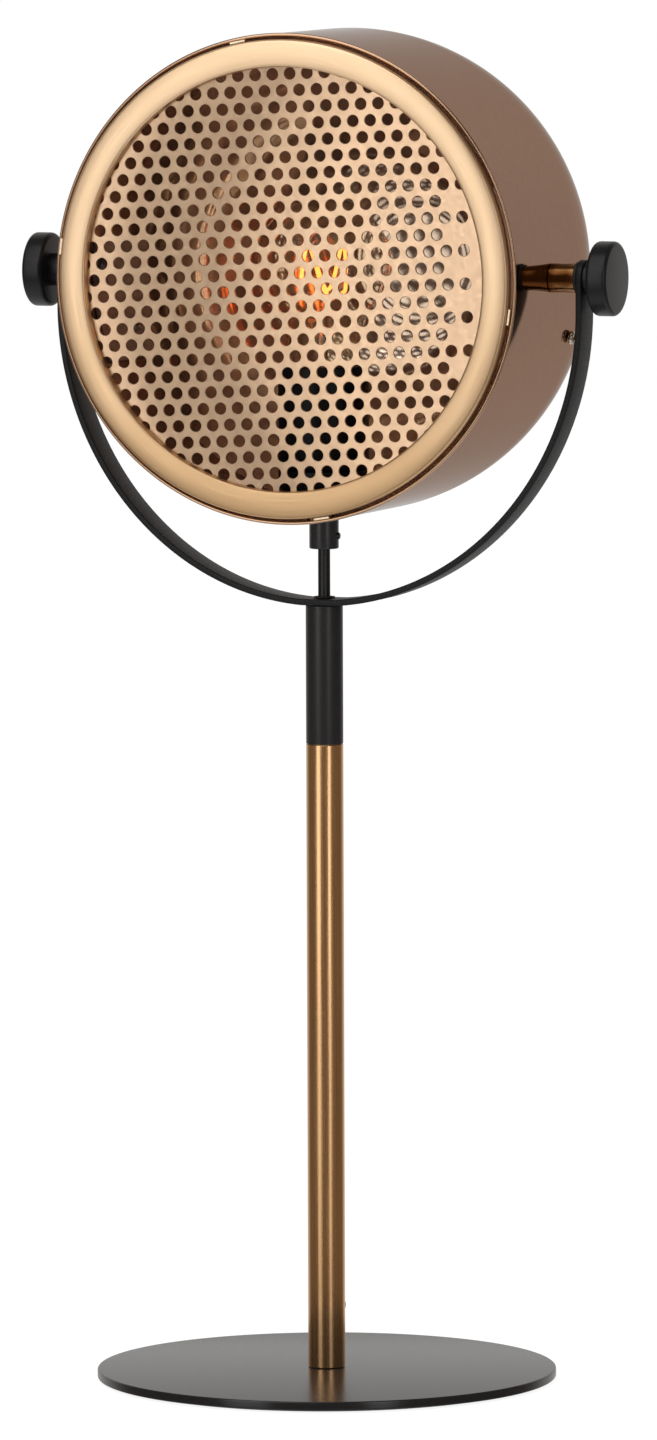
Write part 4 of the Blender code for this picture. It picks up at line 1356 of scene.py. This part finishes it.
@dataclass(frozen=True)
class Pivot:
    """One side's spacer, friction washer and hand knob, outwards along the tilt axis."""

    side: str
    axis: Axis
    bore_radius: float = 0.0033
    waist: float = 0.00015
    waist_points: int = 25
    washer_round: float = 0.0003
    edge_round: float = 0.0018
    edge_steps: int = 8
    neck_radius: float = 0.00725
    neck_length: float = 0.0041

    def span(self, node: str) -> Extent:
        """A node's extent along this side's own outward axis."""
        low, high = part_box(f"{node}_{self.side}")
        return Extent((high.y - low.y) / 2, *sorted((abs(low.x), abs(high.x))))

    def build(self) -> None:
        """Makes the spacer, the washer and the knob.

        The spacer's radius shrinks by waist times the squared sine of pi times the share along it.
        """
        place = Place(tuple(PIVOT), self.axis.value)
        spacer, washer = self.span("pivot_spacer"), self.span("pivot_washer")
        share = np.linspace(0, 1, self.waist_points)
        radius = spacer.radius - self.waist * np.sin(np.pi * share) ** 2
        curve = np.column_stack([radius, spacer.start + (spacer.end - spacer.start) * share])
        profile = np.concatenate([curve, [(self.bore_radius, spacer.end), (self.bore_radius, spacer.start)]])
        turned(f"pivot_spacer_{self.side}", profile, SPACER_COPPER, place, MEDIUM)
        name = f"pivot_washer_{self.side}"
        round_piece(name, washer, self.washer_round, RUBBER, "rubber", self.bore_radius, place, MEDIUM)
        self.knob(place)

    def knob(self, place: Place) -> None:
        """A thick disc with rounded edges on a short neck, hollow for its insert.

        Args:
            place: The pivot, with its own Z along the knob's axis.
        """
        knob = self.span("knob")
        insert = self.span("knob_insert")
        hollow = insert.radius + GAP
        shoulder = knob.start + self.neck_length
        neck_top = (self.neck_radius, shoulder)
        corners = [(0, knob.end), (knob.radius, knob.end), (knob.radius, shoulder), neck_top]
        disc = rounded(corners, self.edge_round, closed=False, steps=self.edge_steps)
        neck = [
            neck_top,
            (self.neck_radius, knob.start),
            (hollow, knob.start),
            (hollow, insert.end + GAP),
            (0, insert.end + GAP),
        ]
        profile = np.concatenate([disc[:-1], neck])
        turned(f"knob_{self.side}", profile, BLACK_PLASTIC, place)


@dataclass(frozen=True)
class CordGrip:
    """The round grip under the drum and the screw that clamps the flex in it."""

    edge_round: float = 0.0006
    bore_radius: float = 0.003
    screw_round: float = 0.0004

    def build(self) -> None:
        """Makes the grip and its screw."""
        grip, screw = Extent.of("cord_grip", Z), Extent.of("cord_grip_screw", X)
        bored = {"hole": self.bore_radius, "segments": MEDIUM}
        round_piece("cord_grip", grip, self.edge_round, BLACK_TURNED, "black_satin", **bored)
        across = {"place": Place((0, 0, node_middle("cord_grip_screw", Z)), Axis.X.value), "segments": SLIGHT}
        round_piece("cord_grip_screw", screw, self.screw_round, BLACK_SCREW, "black_screw", **across)


@dataclass(frozen=True)
class Lampholder:
    """The black cap and body that hold the bulb."""

    wall: float = 0.003
    cap_neck: float = 0.012
    cap_floor: float = 0.004
    edge_round: float = 0.0012
    nipple_hole: float = 0.0053

    def build(self) -> None:
        """Makes the cap, which widens from its neck, and the body."""
        cap, body = Extent.of("holder_cap", Z), Extent.of("holder_body", Z)
        corners = [
            (self.nipple_hole, cap.start),
            (self.cap_neck, cap.start),
            (cap.radius, (cap.start + cap.end) / 2),
            (cap.radius, cap.end),
            (cap.radius - self.wall, cap.end),
            (self.cap_neck - self.wall, cap.start + self.cap_floor),
            (self.nipple_hole, cap.start + self.cap_floor),
        ]
        turned("holder_cap", rounded(corners, self.edge_round), BLACK_PLASTIC)
        hole = body.radius - self.wall
        round_piece("holder_body", body, self.edge_round, BLACK_PLASTIC, "black_plastic", hole)


@dataclass(frozen=True)
class Bulb:
    """The bulb: threaded cap, clear glass, stem and a glowing cage of wire."""

    pitch: float = 0.0036
    thread: float = 0.0006
    thread_from: float = 0.001
    thread_to: float = 0.0005
    thread_points: int = 120
    cap_segments: int = 72
    cap_round: float = 0.0008
    tip_radius: float = 0.0045
    tip_height: float = 0.005
    wall: float = 0.0008
    socket_depth: float = 0.012
    globe: float = 0.030
    globe_steps: int = 40
    glass_wall: float = 0.0008
    shoulder_angle: float = -50.0
    flare_radius: float = 0.008
    flare_height: float = 0.016
    flare_round: float = 0.001
    stem_radius: float = 0.002
    wire_radius: float = 0.0008
    wire_points: int = 150
    wire_segments: int = 12
    cage_radius: float = 0.010
    swing: float = 0.010
    waves: int = 3
    sweep: float = math.radians(300)
    above_stem: float = 0.012

    def build(self) -> None:
        """Makes the four pieces of the bulb."""
        cap, stem = Extent.of("bulb_cap", Z), Extent.of("bulb_stem", Z)
        self.cap(cap)
        self.glass(cap, Extent.of("bulb_glass", Z))
        corners = [
            (0, stem.start),
            (self.flare_radius, stem.start),
            (self.stem_radius, stem.start + self.flare_height),
            (self.stem_radius, stem.end),
            (0, stem.end),
        ]
        profile = rounded(corners, self.flare_round, closed=False)
        turned("bulb_stem", profile, GLASS, segments=SMALL)
        self.filament(stem)

    def cap(self, size: Extent) -> None:
        """The cap, whose radius dips along a helix: by the cosine of height over pitch less the turn.

        Args:
            size: The cap's extent.
        """
        wall_start = size.start + self.tip_height
        tip = [(0, size.start), (self.tip_radius, size.start)]
        side = [(size.radius, wall_start), (size.radius, size.end)]
        outside = rounded(tip + side, self.cap_round, closed=False)
        climb = np.linspace(wall_start + self.thread_from, size.end - self.thread_to, self.thread_points)
        wall = np.column_stack([np.full(len(climb), size.radius), climb])
        inner = size.radius - self.wall - self.thread
        floor = size.end - self.socket_depth
        hollow = [(size.radius - self.wall / 2, size.end), (inner, size.end), (inner, floor), (0, floor)]
        profile = np.concatenate([outside[:-2], wall, hollow])
        grid = around(profile, self.cap_segments)
        turn = np.arange(self.cap_segments) / self.cap_segments
        height = grid[:, :, 2]
        room = np.minimum(height - climb[0], climb[-1] - self.pitch - height)
        fade = np.clip(room / self.pitch, 0, 1) * np.isclose(profile[:, 0], size.radius)[:, None]
        dip = self.thread * (0.5 - 0.5 * np.cos(2 * np.pi * (height / self.pitch - turn))) * fade
        radius = np.maximum(np.linalg.norm(grid[:, :, :2], axis=2), TINY)
        grid[:, :, :2] *= ((radius - dip) / radius)[..., None]
        piece("bulb_cap", grid_mesh("bulb_cap_skin", grid), ROLLED_CAP)

    def glass(self, cap: Extent, size: Extent) -> None:
        """A round envelope on a tapered neck, as a thin shell that is open at the bottom.

        Args:
            cap: The cap's extent.
            size: The glass' extent.
        """
        neck = cap.radius - self.wall - GAP
        centre = (0, size.end - self.globe)
        outside = arc(centre, self.globe, self.shoulder_angle, 90, self.globe_steps)
        inside = arc(centre, self.globe - self.glass_wall, 90, self.shoulder_angle, self.globe_steps)
        outside[-1, 0] = 0
        inside[0, 0] = 0
        bare = neck - self.glass_wall
        throat = [(bare, cap.end), (bare, size.start), (neck, size.start), (neck, cap.end)]
        turned("bulb_glass", np.concatenate([inside, throat, outside]), GLASS)

    def filament(self, stem: Extent) -> None:
        """A wire cage round the stem's top: its height swings by a cosine as it goes round.

        Args:
            stem: The stem's extent.
        """
        share = np.linspace(0, 1, self.wire_points)
        angle = self.sweep * share
        height = stem.end + self.above_stem - self.swing * np.cos(2 * np.pi * self.waves * share)
        cage = np.column_stack([self.cage_radius * np.cos(angle), self.cage_radius * np.sin(angle), height])
        lead = self.stem_radius + GAP + self.wire_radius
        low = stem.end - self.stem_radius
        first, last = ([(lead * math.cos(turn), lead * math.sin(turn), low)] for turn in (0, self.sweep))
        path = np.concatenate([first, cage, last])
        grid = along_path(path, path * [1, 1, 0], self.wire_radius, self.wire_segments)
        piece("bulb_filament", grid_mesh("bulb_filament_skin", grid), FILAMENT)


@dataclass(frozen=True)
class InnerHardware:
    """The small inner nodes, which keep their own shapes and get their finishes."""

    zinc: tuple[str, ...] = ("base_screw", "pole_foot")
    zinc_pairs: tuple[str, ...] = ("pivot_plate", "pivot_bolt")
    brass: tuple[str, ...] = (
        "pole_joiner",
        "holder_nipple",
        "holder_nut",
        "holder_screw_shell",
        "holder_contact",
    )
    brass_pairs: tuple[str, ...] = ("knob_insert",)

    def dress(self) -> None:
        """Puts each finish on its nodes."""
        self.dress_in(ZINC, self.zinc, self.zinc_pairs)
        self.dress_in(PLAIN_BRASS, self.brass, self.brass_pairs)
        self.dress_in(CERAMIC, ("holder_insert",))
        self.dress_in(BROWN_CORE, ("core_live",))
        self.dress_in(BLUE_CORE, ("core_neutral",))

    def dress_in(self, finish: Finish, names: tuple[str, ...], pairs: tuple[str, ...] = ()) -> None:
        """Puts one finish on some nodes.

        Args:
            finish: The finish.
            names: The nodes that there is one of.
            pairs: The names, without their side, of those that there are two of.
        """
        for name in names + tuple(f"{pair}_{side}" for pair in pairs for side in ("left", "right")):
            materials = frame["nodes"][name].data.materials
            materials.clear()
            materials.append(finish.material())
            LOG.info("%s: dressed in %s", name, finish.name)


@dataclass(frozen=True)
class FloorPaint(Surface):
    """A pale matt floor that the camera sees as white, with the lamp's shadow on it.

    Glossy and shadow rays pass through it, so the soft boxes show in the pole down to its foot.
    """

    name: str = "pale_floor"
    colour: Triple = (0.86, 0.86, 0.86)
    roughness: float = 0.8
    specular: float = 0.2
    white: float = 1.2
    white_share: float = 0.75

    def paint(self, tree: Tree, shader: bpy.types.Node) -> None:
        """Fills the material's nodes.

        Args:
            tree: The nodes.
            shader: The one of them that the others serve.
        """
        matt = {
            "Base Color": (*self.colour, 1),
            "Roughness": self.roughness,
            "Specular IOR Level": self.specular,
        }
        fill(tree, shader, matt)
        rays = tree.nodes.new("ShaderNodeLightPath").outputs
        white = add_node(tree, "Emission", "Emission", {"Strength": self.white})
        share = combined(tree, "MULTIPLY", rays["Is Camera Ray"], self.white_share)
        seen = mixed(tree, share, shader.outputs["BSDF"], white)
        clear = add_node(tree, "BsdfTransparent", "BSDF", {})
        passes = combined(tree, "MAXIMUM", rays["Is Glossy Ray"], rays["Is Shadow Ray"])
        tree.links.new(mixed(tree, passes, seen, clear), tree.nodes["Material Output"].inputs["Surface"])


@dataclass(frozen=True)
class Studio:
    """The camera, the pale floor and the soft lights.

    The camera stands in front of the lamp and to its right. A tall soft box stands on each side of
    it, its lower part dimmer than its upper one, and a wide one hangs overhead. Metal and glass
    show the white backdrop behind the lamp and the white floor well below it, and a dim room
    everywhere else.
    """

    azimuth: float = math.radians(20.95)
    distance: float = 4.840
    height: float = 0.7519
    pitch: float = math.radians(5.421)
    roll: float = math.radians(-0.196)
    lens: float = 276.0
    sensor: float = 36.0
    shift_x: float = 0.00267
    far: float = 100.0
    box_distance: float = 3.0
    box_low: float = -0.9
    box_split: float = 0.0
    box_high: float = 2.3
    low_share: float = 0.55
    left_swing: float = math.radians(-40.5)
    left_width: float = 1.15
    left_radiance: float = 1.6
    right_swing: float = math.radians(27)
    right_width: float = 0.75
    right_radiance: float = 1.75
    top_size: float = 2.2
    top_spot: Triple = (-0.3, -1.5, 2.4)
    top_aim: Triple = (0.0, 0.0, 0.45)
    top_radiance: float = 1.3
    floor_size: float = 12.0
    room: Triple = (0.135, 0.105, 0.075)
    plain_level: float = 0.6
    below_level: float = 0.7
    below_edge: tuple[float, float] = (-0.4, -0.8)
    backdrop_level: float = 0.55
    backdrop_edge: tuple[float, float] = (0.4, 0.85)

    def camera(self) -> None:
        """Places the camera and aims it by its pitch and roll."""
        data = bpy.data.cameras.new("camera")
        camera = shown("camera", data)
        data.lens = self.lens
        data.sensor_width = self.sensor
        data.shift_x = self.shift_x
        data.clip_end = self.far
        spot = (self.distance * math.sin(self.azimuth), -self.distance * math.cos(self.azimuth), self.height)
        turn = (
            Matrix.Rotation(self.azimuth, 4, "Z")
            @ Matrix.Rotation(math.pi / 2 - self.pitch, 4, "X")
            @ Matrix.Rotation(self.roll, 4, "Z")
        )
        camera.matrix_world = Matrix.Translation(spot) @ turn
        bpy.context.scene.camera = camera

    def soft_box(
        self, name: str, size: tuple[float, float], radiance: float, spot: Vector, aim: Vector
    ) -> None:
        """A rectangular light that faces a point.

        Args:
            name: The light's name.
            size: Its width and its height.
            radiance: How bright its face looks.
            spot: Where its middle is.
            aim: The point that it faces.
        """
        light = bpy.data.lights.new(name, "AREA")
        light.shape = "RECTANGLE"
        light.size, light.size_y = size
        light.energy = radiance * math.pi * size[0] * size[1]
        stand = shown(name, light)
        stand.location = spot
        stand.rotation_euler = (aim - spot).to_track_quat("-Z", "Y").to_euler()

    def lights(self) -> None:
        """Makes the soft boxes, each of which faces the lamp's axis at its own height."""
        sides = (
            ("left", self.left_swing, self.left_width, self.left_radiance),
            ("right", self.right_swing, self.right_width, self.right_radiance),
        )
        parts = (
            ("upper", self.box_split, self.box_high, 1.0),
            ("lower", self.box_low, self.box_split, self.low_share),
        )
        for part, low, high, share in parts:
            aim = Vector((0, 0, (low + high) / 2))
            for side, swing, width, radiance in sides:
                azimuth = self.azimuth + swing
                spot = Vector((math.sin(azimuth), -math.cos(azimuth), 0)) * self.box_distance + aim
                self.soft_box(f"{side}_{part}_box", (width, high - low), share * radiance, spot, aim)
        size = (self.top_size, self.top_size)
        self.soft_box("overhead_box", size, self.top_radiance, Vector(self.top_spot), Vector(self.top_aim))

    def floor(self) -> None:
        """Makes the floor, a plain square."""
        mesh = bpy.data.meshes.new("floor")
        half = self.floor_size / 2
        corners = [(-half, -half, 0), (half, -half, 0), (half, half, 0), (-half, half, 0)]
        mesh.from_pydata(corners, [], [(0, 1, 2, 3)])
        mesh.materials.append(FloorPaint().material())
        shown("floor", mesh)

    def surroundings(self) -> None:
        """The world: white to the camera, a backdrop and a room to metal and glass, plain to the rest."""
        world = bpy.data.worlds.new("studio")
        bpy.context.scene.world = world
        world.use_nodes = True
        tree = world.node_tree
        white = (1, 1, 1, 1)
        plain = tree.nodes["Background"]
        fill(tree, plain, {"Color": white, "Strength": self.plain_level})
        rays = tree.nodes.new("ShaderNodeLightPath").outputs
        place = add_node(tree, "TexCoord", "Generated", {})
        away = (-math.sin(self.azimuth), math.cos(self.azimuth), 0)
        facing = add_node(tree, "VectorMath", "Value", {0: place, 1: away}, operation="DOT_PRODUCT")
        rise = add_node(tree, "SeparateXYZ", "Z", {"Vector": place})
        behind = ranged(tree, facing, self.backdrop_edge, (0.0, self.backdrop_level), "SMOOTHSTEP")
        below = ranged(tree, rise, self.below_edge, (0.0, self.below_level), "SMOOTHSTEP")
        level = combined(tree, "MAXIMUM", combined(tree, "MAXIMUM", behind, below), rays["Is Camera Ray"])
        shades = {"Factor": level, "A": (*self.room, 1), "B": white}
        tone = add_node(tree, "Mix", "Result", shades, data_type="RGBA")
        seen = add_node(tree, "Background", "Background", {"Color": tone})
        bent = combined(tree, "MAXIMUM", rays["Is Glossy Ray"], rays["Is Transmission Ray"])
        sees = combined(tree, "MAXIMUM", rays["Is Camera Ray"], bent)
        both = mixed(tree, sees, plain.outputs["Background"], seen)
        tree.links.new(both, tree.nodes["World Output"].inputs["Surface"])

    def build(self) -> None:
        """Makes the camera, the lights, the floor and the surroundings."""
        self.camera()
        self.lights()
        self.floor()
        self.surroundings()
        bpy.context.scene.view_settings.view_transform = "Standard"


def main() -> None:
    """Builds the studio and then every sub-assembly of the lamp, from the floor up."""
    logging.basicConfig(level=logging.INFO, format="%(message)s")
    Studio().build()
    Base().build()
    Pole().build()
    Yoke().build()
    Flex().build()
    Drum().build()
    Bezel().build()
    Pivot("right", Axis.X).build()
    Pivot("left", Axis.MINUS_X).build()
    CordGrip().build()
    Lampholder().build()
    Bulb().build()
    InnerHardware().dress()


if __name__ == "__main__":
    main()
